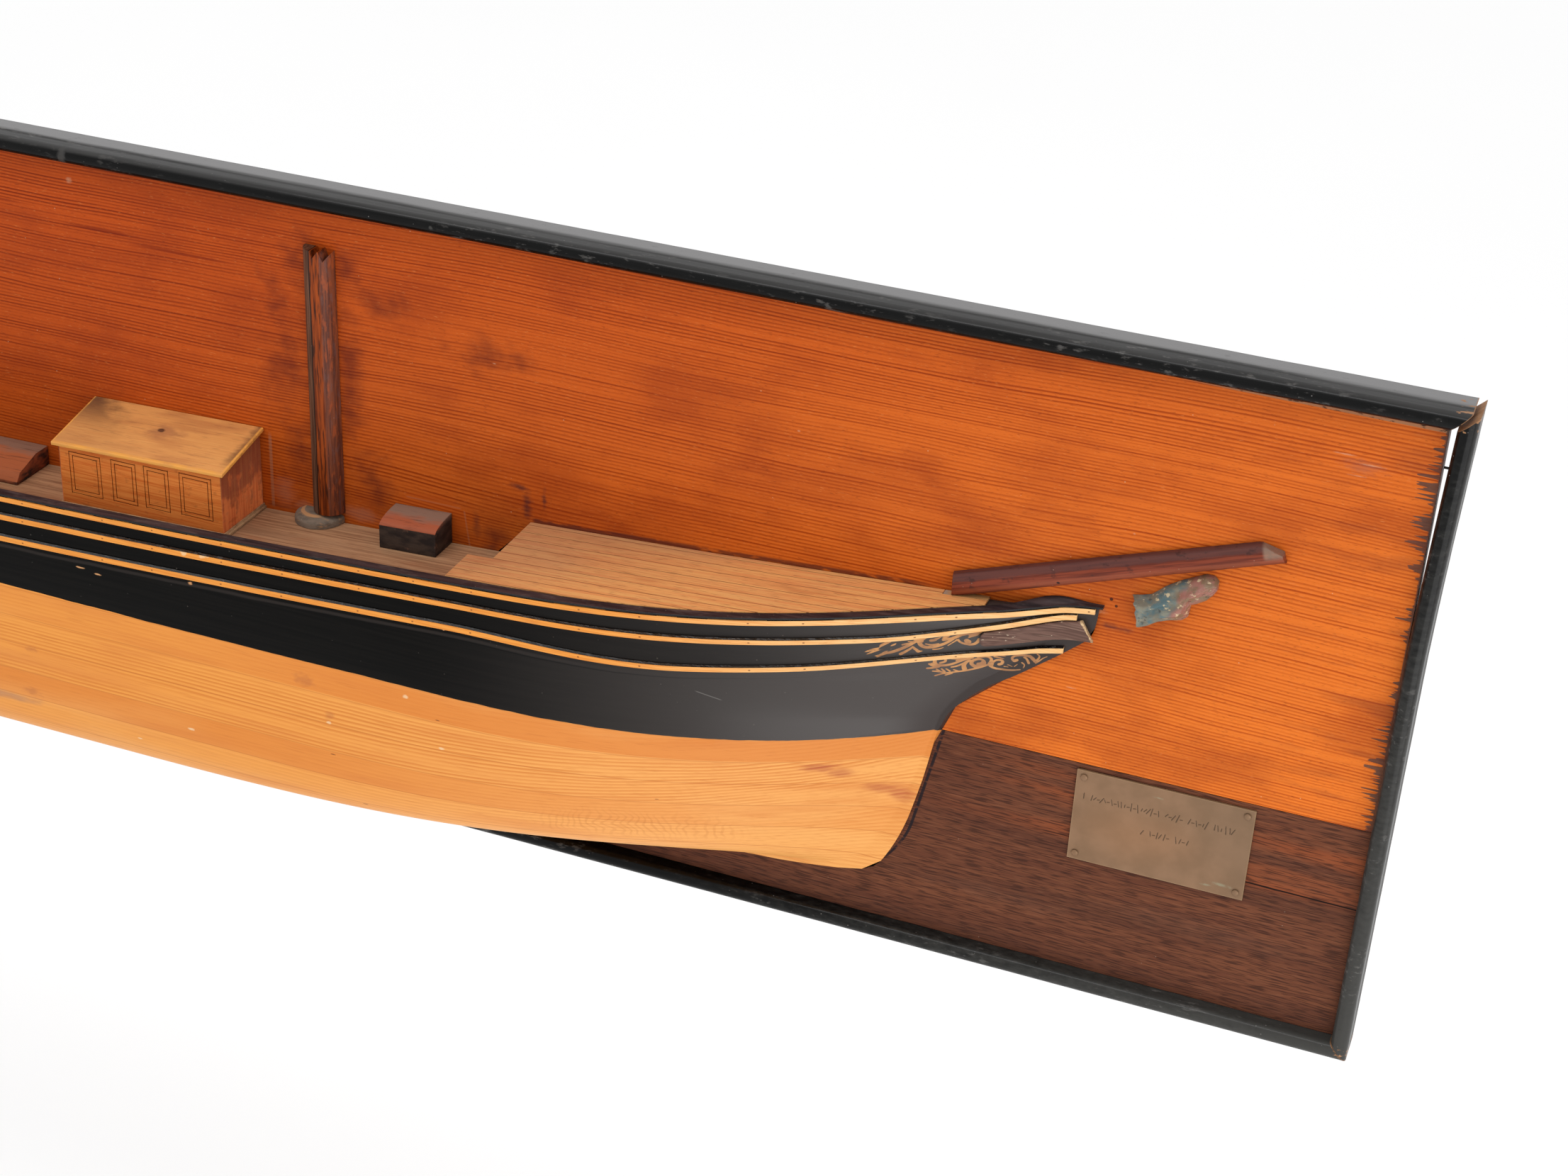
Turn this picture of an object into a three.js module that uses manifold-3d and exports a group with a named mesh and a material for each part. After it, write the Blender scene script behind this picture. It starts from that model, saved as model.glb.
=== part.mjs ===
// A ship half hull model on a framed backboard, made to hang on a wall.
// Millimetres. +X runs along the hull to the bow, the board's back lies in the plane y = 0,
// the hull stands off towards -Y and +Z is up. The origin is the middle of the board's back face.
import * as THREE from "three";
import { mergeVertices } from "three/addons/utils/BufferGeometryUtils.js";
import Module from "manifold-3d";

const wasm = await Module();
wasm.setup();

// Backboard and the moulding round it
const BOARD_HEIGHT = 320;
const BOARD_THICKNESS = 14;
const LOWER_BOARD_HEIGHT = 116;
const MOULDING_THICKNESS = 8.5;
const MOULDING_NOSE = 9;
const NOSE_STEPS = 6;
const MITRE_GAP = 0.1;
const END_SPRING_OUT = 3.4;
const END_SPRING_LENGTH = 124;
const END_SPRING_POWER = 1.3;
const END_MOULDING_STEPS = 16;
const FRAME_NAIL_RADIUS = 0.6;
const FRAME_NAIL_DROP = 22;
const FRAME_NAIL_DEPTH = 6;
const FRAME_NAIL_SIDES = 8;

// Clearance between glued pieces, and the tolerance within which corners are one
const GLUE_GAP = 0.3;
const WELD = 1e-5;

// Hull: lengths along the waterline, margins from its ends to the ends of the board,
// heights from the waterline and half breadths off the board
const BOW_MARGIN = 206;
const WATERLINE_LENGTH = 1400;
const STERN_MARGIN = 134;
const KEEL_DEPTH = 100;
const WATERLINE_HALF_BREADTH = 73.8;
const RAIL_HALF_BREADTH = 68.8;
const TUMBLEHOME_POWER = 1.6;
const STEM_HALF_SIDING = 1.5;
const BILGE_POWER = 5;
const RAIL_HEIGHT = 47.3;
const LOWEST_RAIL_FROM_STEM = 732;
const SHEER_RISE_FORWARD = 28.1;
const SHEER_RISE_AFT = 22;
const HEAD_REACH = 70;
const FOREFOOT_LENGTH = 150;
const HEAD_SWEEP = 4.4;
const HEAD_SWEEP_LENGTH = 45;
const END_SHARE = 0.3;
const END_STEPS = 26;
const END_CROWDING = 1.55;
const MIDDLE_STEPS = 6;
const LOWER_LEVELS = 13;
const UPPER_LEVELS = 9;
const LEVEL_SAMPLES = 200;
const LEVEL_PASSES = 6;
const STEM_SAMPLES = 240;

// Stern: a raked post under an overhanging counter
const POST_RAKE = 0.05;
const COUNTER_OVERHANG = 58;
const COUNTER_DEPTH = 46;
const COUNTER_DROP = 4;
const TAFFRAIL_RAKE = 0.12;

// Entry and run: length, power and hollow at the waterline, at the rail and at the keel
const ENTRY = {
  waterline: { length: 235, power: 2.6, hollow: 1 },
  rail: { length: 285, power: 3, hollow: 2.1 },
  keel: { length: 385, power: 3, hollow: 1.8 },
};
const RUN = {
  waterline: { length: 430, power: 2.4, hollow: 1.1 },
  rail: { length: 330, power: 3.4, hollow: 0.55 },
  keel: { length: 560, power: 2.4, hollow: 1.8 },
};

// Decks, bulwark and cap rail
const BULWARK_HEIGHT = 19;
const BULWARK_THICKNESS = 4.2;
const CAP_WIDTH = 5.6;
const CAP_THICKNESS = 1;
const CAP_OVERHANG = 2;
const CAP_ROUNDING = 0.5;
const HEAD_CROWN = 3.2;
const HEAD_CROWN_LENGTH = 58;
const HEAD_CROWN_LEAN = 1.5;
const DECK_THICKNESS = 2;
const DECK_PROUD = 0.3;
const FORECASTLE_LENGTH = 214.5;
const WING_STEP = 13.2;
const WING_START = 42;
const POOP_LENGTH = 190;
const DECK_STATIONS = 26;
const INSERT_LENGTH = 21.6;
const INSERT_WIDTH = 4.6;
const INSERT_TIP_FROM_STEM = 18.6;
const INSERT_STEPS = 5;

// Battens: how far the top of each face lies below the cap rail amidships, at the bow and at the stem,
// how far aft of the stem's foot it starts to sweep up, over what length, and where it ends behind the head
const BATTEN_FACE = 2.7;
const BATTEN_SEAT = 0.85;
const BATTEN_STAND = 1.35;
const BATTEN_LEDGE = 0.7;
const BATTEN_BOW_START = 230;
const BATTEN_BOW_END = 110;
const UPPER_BATTEN = {
  drop: 1.4, dropAtBow: 1.4, dropAtStem: 1.4,
  sweepStart: 30, sweepLength: 92, setback: 1.5,
};
const MIDDLE_BATTEN = {
  drop: 10.9, dropAtBow: 12.7, dropAtStem: 5.1,
  sweepStart: 30, sweepLength: 92, setback: 9.5,
};
const LOWER_BATTEN = {
  drop: 22.2, dropAtBow: 28.9, dropAtStem: 22.8,
  sweepStart: 64, sweepLength: 126, setback: 14,
};

// Deckhouse
const HOUSE_LENGTH = 94;
const HOUSE_DEPTH = 38;
const HOUSE_FRONT_HEIGHT = 35.2;
const HOUSE_BACK_HEIGHT = 43.2;
const HOUSE_FROM_FOREMAST = 39;
const ROOF_THICKNESS = 2;
const ROOF_OVERHANG = 2.6;
const HOUSE_BASE_HEIGHT = 2.8;
const HOUSE_BASE_STAND = 1.8;
const PANEL_LINE = 0.5;
const PANEL_LINE_DEPTH = 0.5;
const PANEL_LINE_STEP = 2;
const PANEL_HEIGHT = 23.5;
const PANEL_BOTTOM = 8.4;
const OUTER_PANEL_WIDTH = 18.6;
const INNER_PANEL_WIDTH = 14.5;
const OUTER_PANEL_CENTRE = 32.1;
const INNER_PANEL_CENTRE = 9.5;

// Masts: stubs with a notched top, each with a worn coat round its foot
const FOREMAST_FROM_COMPANION = 53;
const MAINMAST_FROM_FOREMAST = 443.8;
const MIZZEN_FROM_POOP = 80;
const MAST_RADIUS = 8.4;
const MAST_TOP_RADIUS = 8;
const MIZZEN_SCALE = 0.86;
const MAST_TOP_BELOW_EDGE = 19.5;
const MIZZEN_TOP_BELOW_EDGE = 45.3;
const MAST_FOOT_CLEARANCE = 0.7;
const MAST_SIDES = 12;
const NOTCHES = [{ at: 0, depth: 3.6 }, { at: 5, depth: 5.2 }];
const NOTCH_STEEP_SLOPE = 0.35;
const NOTCH_EASY_SLOPE = 0.75;
const COAT_RADIUS = 13.3;
const COAT_SEAT_RADIUS = 8.8;
const COAT_HEIGHT = 3.8;
const COAT_SEAT_HEIGHT = 5.8;
const COAT_OFFSET = 5.5;
const COAT_SIDES = 16;

// Hatches: sections as distance off the board and height above the deck
const COMPANION_FROM_FORECASTLE = 58.7;
const COMPANION_LENGTH = 31;
const COMPANION_DEPTH = 18.2;
const COMPANION_FRONT_HEIGHT = 12.6;
const COMPANION_BACK_HEIGHT = 16.6;
const COMPANION_ROOF_STEPS = 6;
const SKYLIGHT_FROM_HOUSE = 35;
const SKYLIGHT_LENGTH = 66;
const SKYLIGHT_BACK_HEIGHT = 10.9;
const SKYLIGHT_RIDGE = [10.8, 10.9];
const SKYLIGHT_EAVE = [25.5, 6.1];
const SKYLIGHT_FRONT = [28.6, 1.9];
const MAIN_HATCH_FROM_MAINMAST = 130;
const MAIN_HATCH_LENGTH = 58;
const MAIN_HATCH_DEPTH = 22;
const MAIN_HATCH_HEIGHT = 7;
const COAMING_CHAMFER = 1.4;

// Bowsprit stub, glued to the board
const BOWSPRIT_LENGTH = 156;
const BOWSPRIT_RADIUS = 6.4;
const BOWSPRIT_TIP_RADIUS = 5.5;
const BOWSPRIT_STEEVE = 19.2;
const BOWSPRIT_HEEL_ABOVE_RAIL = 4.6;
const BOWSPRIT_HEEL_SKEW = 0.3;
const BOWSPRIT_NOTCH_LENGTH = 9;
const BOWSPRIT_NOTCH_DEPTH = 3;
const BOWSPRIT_SIDES = 12;

// Trail board stub, on the hull's side between the middle and lower battens
const TRAIL_FROM_STEM = 19;
const TRAIL_LENGTH = 47;
const TRAIL_HEIGHT = 8.6;
const TRAIL_END_HEIGHT = 9.6;
const TRAIL_THICKNESS = 2.2;
const TRAIL_ROUNDING = 3;
const TRAIL_STATIONS = 10;
const TRAIL_BREAK = [-2.6, -0.6, 0.4, 2.1, 2.9];

// Figurehead fragment: upper and lower points of its edge in pairs from the broken end,
// each as the way ahead of the stem's foot and the drop below the bowsprit's axis
const FIGURE_EDGE = [
  [[84.4, 15.4], [88.4, 31.3]],
  [[88.5, 15.8], [93, 30.8]],
  [[92.4, 15.8], [97.2, 29]],
  [[95.5, 14.1], [102, 28.9]],
  [[98.3, 12.3], [107.8, 29.9]],
  [[102, 11], [110.1, 28.5]],
  [[105.5, 9.9], [110.4, 24.6]],
  [[109.5, 9.2], [110.6, 22.5]],
  [[112.5, 8.6], [113.3, 22.3]],
  [[115.6, 8.1], [117.2, 21.2]],
  [[119.3, 9.5], [119.9, 18.8]],
  [[121.3, 12.2], [121.4, 16.3]],
];
const FIGURE_DEPTH = 9.5;
const FIGURE_END_DEPTH = 4.5;
const FIGURE_SIDES = 12;
const FIGURE_FOLD = 0.9;
const FIGURE_FOLDS = 3;
const FIGURE_FULLNESS = 0.55;
const FIGURE_SKEW = 0.2;

// Rudder
const RUDDER_WIDTH = 24;
const RUDDER_HEAD_WIDTH = 12;
const RUDDER_THICKNESS = 3.4;
const RUDDER_CLEARANCE = 1;
const RUDDER_STEPS = 6;

// Name plate and its pins
const PLATE_LENGTH = 85;
const PLATE_HEIGHT = 50;
const PLATE_THICKNESS = 1;
const PLATE_FROM_END = 52;
const PLATE_BELOW_SEAM = 2.8;
const PLATE_CORNER = 1.2;
const PIN_RADIUS = 1.7;
const PIN_HEIGHT = 0.8;
const PIN_CROWN = 0.7;
const PIN_INSET = 3.6;
const PIN_SIDES = 12;

// Places that follow from the sizes above
const boardLength = STERN_MARGIN + WATERLINE_LENGTH + BOW_MARGIN;
const boardTop = BOARD_HEIGHT / 2;
const boardRight = boardLength / 2;
const boardFace = -BOARD_THICKNESS;
const seam = LOWER_BOARD_HEIGHT - boardTop;
const stemFoot = boardRight - BOW_MARGIN;
const sternFoot = stemFoot - WATERLINE_LENGTH;
const keelHeight = seam - KEEL_DEPTH;
const head = stemFoot + HEAD_REACH;
const seat = GLUE_GAP * 2;

const group = new THREE.Group();

const finishes = {
  pine: { color: 0xb4551e, roughness: 0.45, metalness: 0 },
  darkBoard: { color: 0x4a261a, roughness: 0.55, metalness: 0 },
  blackMoulding: { color: 0x17171a, roughness: 0.4, metalness: 0 },
  steel: { color: 0x3c3a38, roughness: 0.5, metalness: 0.8 },
  hull: { color: 0xe39a45, roughness: 0.4, metalness: 0 },
  blackRail: { color: 0x241b1b, roughness: 0.45, metalness: 0 },
  batten: { color: 0xf0a040, roughness: 0.45, metalness: 0 },
  deck: { color: 0x9a6238, roughness: 0.65, metalness: 0 },
  paleWood: { color: 0xd99a58, roughness: 0.6, metalness: 0 },
  fruitwood: { color: 0xb8713a, roughness: 0.5, metalness: 0 },
  spar: { color: 0x6a2c18, roughness: 0.5, metalness: 0 },
  greyPaint: { color: 0x6b625a, roughness: 0.8, metalness: 0 },
  blackPaint: { color: 0x2b2624, roughness: 0.6, metalness: 0 },
  purplePaint: { color: 0x46343a, roughness: 0.6, metalness: 0 },
  drapery: { color: 0x4a5c62, roughness: 0.5, metalness: 0 },
  brass: { color: 0x8f7a4c, roughness: 0.45, metalness: 0.8 },
};

function add(name, geometry, finish) {
  const mesh = new THREE.Mesh(geometry, new THREE.MeshStandardMaterial(finishes[finish]));
  mesh.name = name;
  group.add(mesh);
  return mesh;
}

function lerp(a, b, t) {
  return a + (b - a) * t;
}

function clamp01(t) {
  return Math.min(1, Math.max(0, t));
}

function smooth(t) {
  const c = clamp01(t);
  return c * c * (3 - 2 * c);
}

// Evenly spaced values from a to b, both ends kept
function spaced(a, b, steps) {
  return Array.from({ length: steps + 1 }, (unused, i) => lerp(a, b, i / steps));
}

// A point given along the hull, off the board's face and up
function point(x, off, z) {
  return new THREE.Vector3(x, boardFace - off, z);
}

// Closed mesh from rings of equally many points, closed at both ends
function ringLoft(rings) {
  const count = rings[0].length;
  const positions = [];
  const put = (a, b, c) => positions.push(a.x, a.y, a.z, b.x, b.y, b.z, c.x, c.y, c.z);
  for (let i = 0; i + 1 < rings.length; i += 1) {
    for (let j = 0; j < count; j += 1) {
      const k = (j + 1) % count;
      const [a, b, c, d] = [rings[i][j], rings[i][k], rings[i + 1][k], rings[i + 1][j]];
      put(a, b, c);
      put(a, c, d);
    }
  }
  const first = capTriangles(rings[0]);
  const last = capTriangles(rings[rings.length - 1]);
  first.forEach(([a, b, c]) => put(rings[0][a], rings[0][c], rings[0][b]));
  last.forEach(([a, b, c]) => put(rings.at(-1)[a], rings.at(-1)[b], rings.at(-1)[c]));
  return closed(positions);
}

// Triangles of a flat ring, turned as its points run
function capTriangles(ring) {
  const normal = new THREE.Vector3();
  const origin = ring[0];
  for (let i = 1; i + 1 < ring.length; i += 1) {
    const side = new THREE.Vector3().subVectors(ring[i], origin);
    normal.add(side.cross(new THREE.Vector3().subVectors(ring[i + 1], origin)));
  }
  normal.normalize();
  const across = new THREE.Vector3().subVectors(ring[1], ring[0]).normalize();
  const up = new THREE.Vector3().crossVectors(normal, across);
  const flat = ring.map((p) => new THREE.Vector2(p.dot(across), p.dot(up)));
  return THREE.ShapeUtils.triangulateShape(flat, []);
}

// Geometry of loose triangles, turned so that its faces point out
function closed(positions) {
  let volume = 0;
  const p = (i) => new THREE.Vector3(positions[i], positions[i + 1], positions[i + 2]);
  for (let i = 0; i < positions.length; i += 9) {
    volume += p(i).dot(p(i + 3).cross(p(i + 6)));
  }
  const data = volume < 0 ? turned(positions) : positions;
  const geometry = new THREE.BufferGeometry();
  geometry.setAttribute("position", new THREE.Float32BufferAttribute(data, 3));
  return mergeVertices(geometry, WELD);
}

function turned(positions) {
  const out = [];
  for (let i = 0; i < positions.length; i += 9) {
    out.push(...positions.slice(i, i + 3));
    out.push(...positions.slice(i + 6, i + 9));
    out.push(...positions.slice(i + 3, i + 6));
  }
  return out;
}

function toManifold(geometry) {
  const bare = geometry.clone();
  bare.deleteAttribute("normal");
  bare.deleteAttribute("uv");
  const merged = mergeVertices(bare, WELD);
  const triVerts = new Uint32Array(merged.index.array);
  const vertProperties = new Float32Array(merged.attributes.position.array);
  return new wasm.Manifold(new wasm.Mesh({ numProp: 3, vertProperties, triVerts }));
}

function fromManifold(solid) {
  const mesh = solid.getMesh();
  const geometry = new THREE.BufferGeometry();
  geometry.setAttribute("position", new THREE.BufferAttribute(mesh.vertProperties, 3));
  geometry.setIndex(new THREE.BufferAttribute(mesh.triVerts, 1));
  return geometry;
}

function cut(geometry, ...tools) {
  return fromManifold(tools.reduce((solid, tool) => solid.subtract(toManifold(tool)), toManifold(geometry)));
}

// Box between two corners given along the hull, off the board and up
function blockAt(x0, x1, off0, off1, z0, z1) {
  const box = new THREE.BoxGeometry(x1 - x0, off1 - off0, z1 - z0);
  return box.translate((x0 + x1) / 2, boardFace - (off0 + off1) / 2, (z0 + z1) / 2);
}

// Stations along the hull as shares from 0 to 1: few amidships, crowding towards both ends
const endShares = spaced(0, 1, END_STEPS).map((u) => END_SHARE * u ** END_CROWDING);
const stationShares = [
  ...endShares,
  ...spaced(END_SHARE, 1 - END_SHARE, MIDDLE_STEPS).slice(1, -1),
  ...endShares.map((share) => 1 - share).reverse(),
];

// Hull form

// Stem: heights from the waterline in shares of the keel's depth and of the head's height,
// reach ahead of the stem's foot in shares of the forefoot's length and of the head's reach
const headHeight = RAIL_HEIGHT + SHEER_RISE_FORWARD + HEAD_SWEEP;
const stemBelow = [
  [-1, -1],
  [-0.985, -0.6933],
  [-0.968, -0.5067],
  [-0.932, -0.32],
  [-0.9, -0.22],
  [-0.855, -0.1693],
  [-0.763, -0.1313],
  [-0.587, -0.084],
  [-0.27, -0.0327],
].map(([height, reach]) => new THREE.Vector3(height * KEEL_DEPTH, reach * FOREFOOT_LENGTH, 0));
const stemAbove = [
  [0, 0],
  [0.0714, 0.0286],
  [0.1216, 0.0543],
  [0.1867, 0.1057],
  [0.2531, 0.1686],
  [0.3246, 0.2471],
  [0.3972, 0.3386],
  [0.4762, 0.4657],
  [0.6015, 0.6429],
  [0.7306, 0.8171],
  [0.8584, 0.9629],
  [0.9524, 0.9914],
  [1.1028, 1],
].map(([height, reach]) => new THREE.Vector3(height * headHeight, reach * HEAD_REACH, 0));
const stemProfile = new THREE.CatmullRomCurve3([...stemBelow, ...stemAbove], false, "centripetal");
const stemSamples = stemProfile.getPoints(STEM_SAMPLES);

function stemAt(z) {
  const height = z - seam;
  let i = 1;
  while (i < stemSamples.length - 1 && stemSamples[i].x < height) {
    i += 1;
  }
  const [a, b] = [stemSamples[i - 1], stemSamples[i]];
  return stemFoot + lerp(a.y, b.y, clamp01((height - a.x) / (b.x - a.x)));
}

function sternAt(z) {
  const height = z - seam;
  const rake = POST_RAKE * Math.min(0, height);
  const counter = COUNTER_OVERHANG * smooth((height + COUNTER_DROP) / COUNTER_DEPTH);
  const taffrail = TAFFRAIL_RAKE * Math.max(0, height);
  return sternFoot - rake - counter - taffrail;
}

// Height of the cap rail's top
function sheerAt(x) {
  const lowest = stemFoot - LOWEST_RAIL_FROM_STEM;
  const rise = x > lowest
    ? SHEER_RISE_FORWARD * ((x - lowest) / LOWEST_RAIL_FROM_STEM) ** 2
    : SHEER_RISE_AFT * ((lowest - x) / (lowest - sternFoot)) ** 2;
  const sweep = HEAD_SWEEP * smooth((x - head + HEAD_SWEEP_LENGTH) / HEAD_SWEEP_LENGTH);
  return seam + RAIL_HEIGHT + rise + sweep;
}

// Half breadth of the midship section at a height
function midshipAt(z) {
  if (z >= seam) {
    const up = clamp01((z - seam) / RAIL_HEIGHT);
    return lerp(WATERLINE_HALF_BREADTH, RAIL_HALF_BREADTH, up ** TUMBLEHOME_POWER);
  }
  const down = clamp01((seam - z) / KEEL_DEPTH);
  return WATERLINE_HALF_BREADTH * (1 - down ** BILGE_POWER) ** (1 / BILGE_POWER);
}

// Share of the midship breadth that a waterline has reached, a way behind its end
function fullness(way, from, to, share) {
  const length = lerp(from.length, to.length, share);
  const power = lerp(from.power, to.power, share);
  const hollow = lerp(from.hollow, to.hollow, share);
  return (1 - (1 - clamp01(way / length)) ** power) ** hollow;
}

// Half breadth of the hull at a place along it and a height
function halfBreadth(x, z) {
  const above = z > seam;
  const share = above ? clamp01((z - seam) / (sheerAt(x) - seam)) : clamp01((seam - z) / KEEL_DEPTH);
  const end = above ? "rail" : "keel";
  const entry = fullness(stemAt(z) - x, ENTRY.waterline, ENTRY[end], share);
  const run = fullness(x - sternAt(z), RUN.waterline, RUN[end], share);
  return Math.max(STEM_HALF_SIDING, midshipAt(z) * entry * run);
}

// Heights of the levels from the keel to the waterline, by even steps round the midship section
function lowerHeights() {
  const path = [];
  spaced(0, Math.PI / 2, LEVEL_SAMPLES).forEach((angle, i) => {
    const z = seam - KEEL_DEPTH * Math.sin(angle);
    const b = midshipAt(z);
    const length = i > 0 ? path[i - 1].length + Math.hypot(z - path[i - 1].z, b - path[i - 1].b) : 0;
    path.push({ z, b, length });
  });
  const steps = spaced(0, path.at(-1).length, LOWER_LEVELS);
  return steps.map((step) => path.find((p) => p.length >= step - WELD).z).reverse();
}

const capUnder = (x) => sheerAt(x) - CAP_THICKNESS - GLUE_GAP;

// Point of the skin above the waterline, at shares of the length and of the height
function upperPoint(along, up) {
  let z = lerp(seam, seam + RAIL_HEIGHT, up);
  let x = lerp(sternAt(z), stemAt(z), along);
  for (let pass = 0; pass < LEVEL_PASSES; pass += 1) {
    z = lerp(seam, capUnder(x), up);
    x = lerp(sternAt(z), stemAt(z), along);
  }
  return new THREE.Vector3(x, halfBreadth(x, z), z);
}

// The hull's outer skin as rows of points, from the keel up, each row from stern to stem
function hullRows() {
  const rows = lowerHeights().map((z) => stationShares.map((u) => {
    const x = lerp(sternAt(z), stemAt(z), u);
    return new THREE.Vector3(x, halfBreadth(x, z), z);
  }));
  spaced(0, 1, UPPER_LEVELS).slice(1).forEach((up) => {
    rows.push(stationShares.map((u) => upperPoint(u, up)));
  });
  return rows;
}

// Row and station of every point round the skin's border
function skinBorder(top, last) {
  return [
    ...spaced(0, last - 1, last - 1).map((i) => [0, i]),
    ...spaced(0, top - 1, top - 1).map((j) => [j, last]),
    ...spaced(last, 1, last - 1).map((i) => [top, i]),
    ...spaced(top, 1, top - 1).map((j) => [j, 0]),
  ].map(([j, i]) => [Math.round(j), Math.round(i)]);
}

// The whole hull before its decks are sunk: the skin, a flat back and the edges between them
function hullBlank() {
  const rows = hullRows();
  const skin = rows.map((row) => row.map((p) => point(p.x, p.y + GLUE_GAP, p.z)));
  const back = rows.map((row) => row.map((p) => point(p.x, GLUE_GAP, p.z)));
  const last = stationShares.length - 1;
  const positions = [];
  const put = (a, b, c) => positions.push(a.x, a.y, a.z, b.x, b.y, b.z, c.x, c.y, c.z);
  for (let j = 0; j + 1 < rows.length; j += 1) {
    for (let i = 0; i < last; i += 1) {
      put(skin[j][i], skin[j][i + 1], skin[j + 1][i + 1]);
      put(skin[j][i], skin[j + 1][i + 1], skin[j + 1][i]);
    }
  }
  const border = skinBorder(rows.length - 1, last);
  border.forEach(([j, i], n) => {
    const [k, l] = border[(n + 1) % border.length];
    put(skin[j][i], back[j][i], back[k][l]);
    put(skin[j][i], back[k][l], skin[k][l]);
  });
  const loop = border.map(([j, i]) => back[j][i]);
  const flat = loop.map((p) => new THREE.Vector2(p.x, p.z));
  THREE.ShapeUtils.triangulateShape(flat, []).forEach(([a, b, c]) => put(loop[a], loop[c], loop[b]));
  return closed(positions);
}

// Decks and bulwark

const forecastleBreak = stemFoot - FORECASTLE_LENGTH;
const wingBreak = forecastleBreak - WING_STEP;
const poopBreak = sternFoot + POOP_LENGTH;
const deckAt = (x) => sheerAt(x) - BULWARK_HEIGHT;
const railBreadth = (x) => halfBreadth(x, capUnder(x)) + GLUE_GAP;
const capOuter = (x) => railBreadth(x) + CAP_OVERHANG;
const capInner = (x) => Math.max(GLUE_GAP, capOuter(x) - CAP_WIDTH);

// Solid between two breadths and two heights that are worked out at each station
function deckSolid(stations, inner, outer, under, over) {
  return ringLoft(stations.map((x) => [
    point(x, inner(x), under(x)),
    point(x, outer(x), under(x)),
    point(x, outer(x), over(x)),
    point(x, inner(x), over(x)),
  ]));
}

function hullSolid() {
  const behind = () => -GLUE_GAP;
  const inside = (x) => railBreadth(x) - BULWARK_THICKNESS;
  const floor = (x) => deckAt(x) - DECK_THICKNESS - GLUE_GAP;
  const above = (x) => sheerAt(x) + BULWARK_HEIGHT;
  const waist = spaced(poopBreak, wingBreak, DECK_STATIONS);
  const well = deckSolid(waist, behind, inside, floor, above);
  const nook = deckSolid([wingBreak - WING_STEP, forecastleBreak], behind, () => WING_START, floor, above);
  return cut(hullBlank(), well, nook);
}

function mainDeck() {
  const inner = () => seat;
  const outer = (x) => railBreadth(x) - BULWARK_THICKNESS - GLUE_GAP;
  const under = (x) => deckAt(x) - DECK_THICKNESS;
  const stations = spaced(poopBreak + GLUE_GAP, wingBreak - GLUE_GAP, DECK_STATIONS);
  const waist = deckSolid(stations, inner, outer, under, deckAt);
  const nookStations = [stations.at(-1) - WING_STEP, forecastleBreak - GLUE_GAP];
  const nook = deckSolid(nookStations, inner, () => WING_START - GLUE_GAP, under, deckAt);
  return fromManifold(toManifold(waist).add(toManifold(nook)));
}

// Deck laid on top of the hull, inside the cap rail
function raisedDeck(stations, inner = () => seat, reach = () => Infinity) {
  const outer = (x) => Math.min(reach(x), capInner(x) - GLUE_GAP);
  const under = (x) => sheerAt(x) - CAP_THICKNESS;
  const over = (x) => sheerAt(x) + DECK_PROUD;
  return deckSolid(stations, inner, outer, under, over);
}

const insertTip = stemFoot + INSERT_TIP_FROM_STEM;
const insertHeel = insertTip - INSERT_LENGTH;

function forecastleDeck() {
  const deck = raisedDeck([...spaced(wingBreak, insertHeel, DECK_STATIONS), insertTip]);
  const nook = blockAt(wingBreak - seat, forecastleBreak, 0, WING_START, seam, boardTop);
  const letIn = blockAt(insertHeel, insertTip + seat, 0, INSERT_WIDTH + GLUE_GAP, seam, boardTop);
  return cut(deck, nook, letIn);
}

// Pale wedge let in where the forecastle deck runs out
function deckInsert() {
  return raisedDeck(spaced(insertHeel + GLUE_GAP, insertTip, INSERT_STEPS), () => seat, () => INSERT_WIDTH);
}

function poopDeck() {
  const sternmost = sternAt(capUnder(sternFoot));
  const start = sternmost + CAP_WIDTH * 3;
  return raisedDeck(spaced(start, poopBreak - GLUE_GAP, DECK_STATIONS));
}

// Extra height of the cap rail at the board, where it closes over the stem head
function headCrown(x) {
  const share = clamp01((x - head + HEAD_CROWN_LENGTH) / HEAD_CROWN_LENGTH);
  return HEAD_CROWN * Math.sin(Math.PI * smooth(share ** HEAD_CROWN_LEAN));
}

function capRail() {
  const sternEnd = sternAt(capUnder(sternFoot)) - CAP_OVERHANG;
  const bowEnd = stemAt(capUnder(head)) + CAP_OVERHANG;
  return ringLoft(stationShares.map((u) => {
    const x = lerp(sternEnd, bowEnd, u);
    const top = sheerAt(x);
    const under = top - CAP_THICKNESS;
    return [
      point(x, capInner(x), under),
      point(x, capOuter(x), under),
      point(x, capOuter(x), top - CAP_ROUNDING),
      point(x, capOuter(x) - CAP_ROUNDING, top),
      point(x, capInner(x), top + headCrown(x)),
    ];
  }));
}

// Battens

function battenTop(x, place) {
  const bow = smooth((x - stemFoot + BATTEN_BOW_START) / (BATTEN_BOW_START - BATTEN_BOW_END));
  const sweep = smooth((x - stemFoot + place.sweepStart) / place.sweepLength);
  return sheerAt(x) - lerp(lerp(place.drop, place.dropAtBow, bow), place.dropAtStem, sweep);
}

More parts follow.
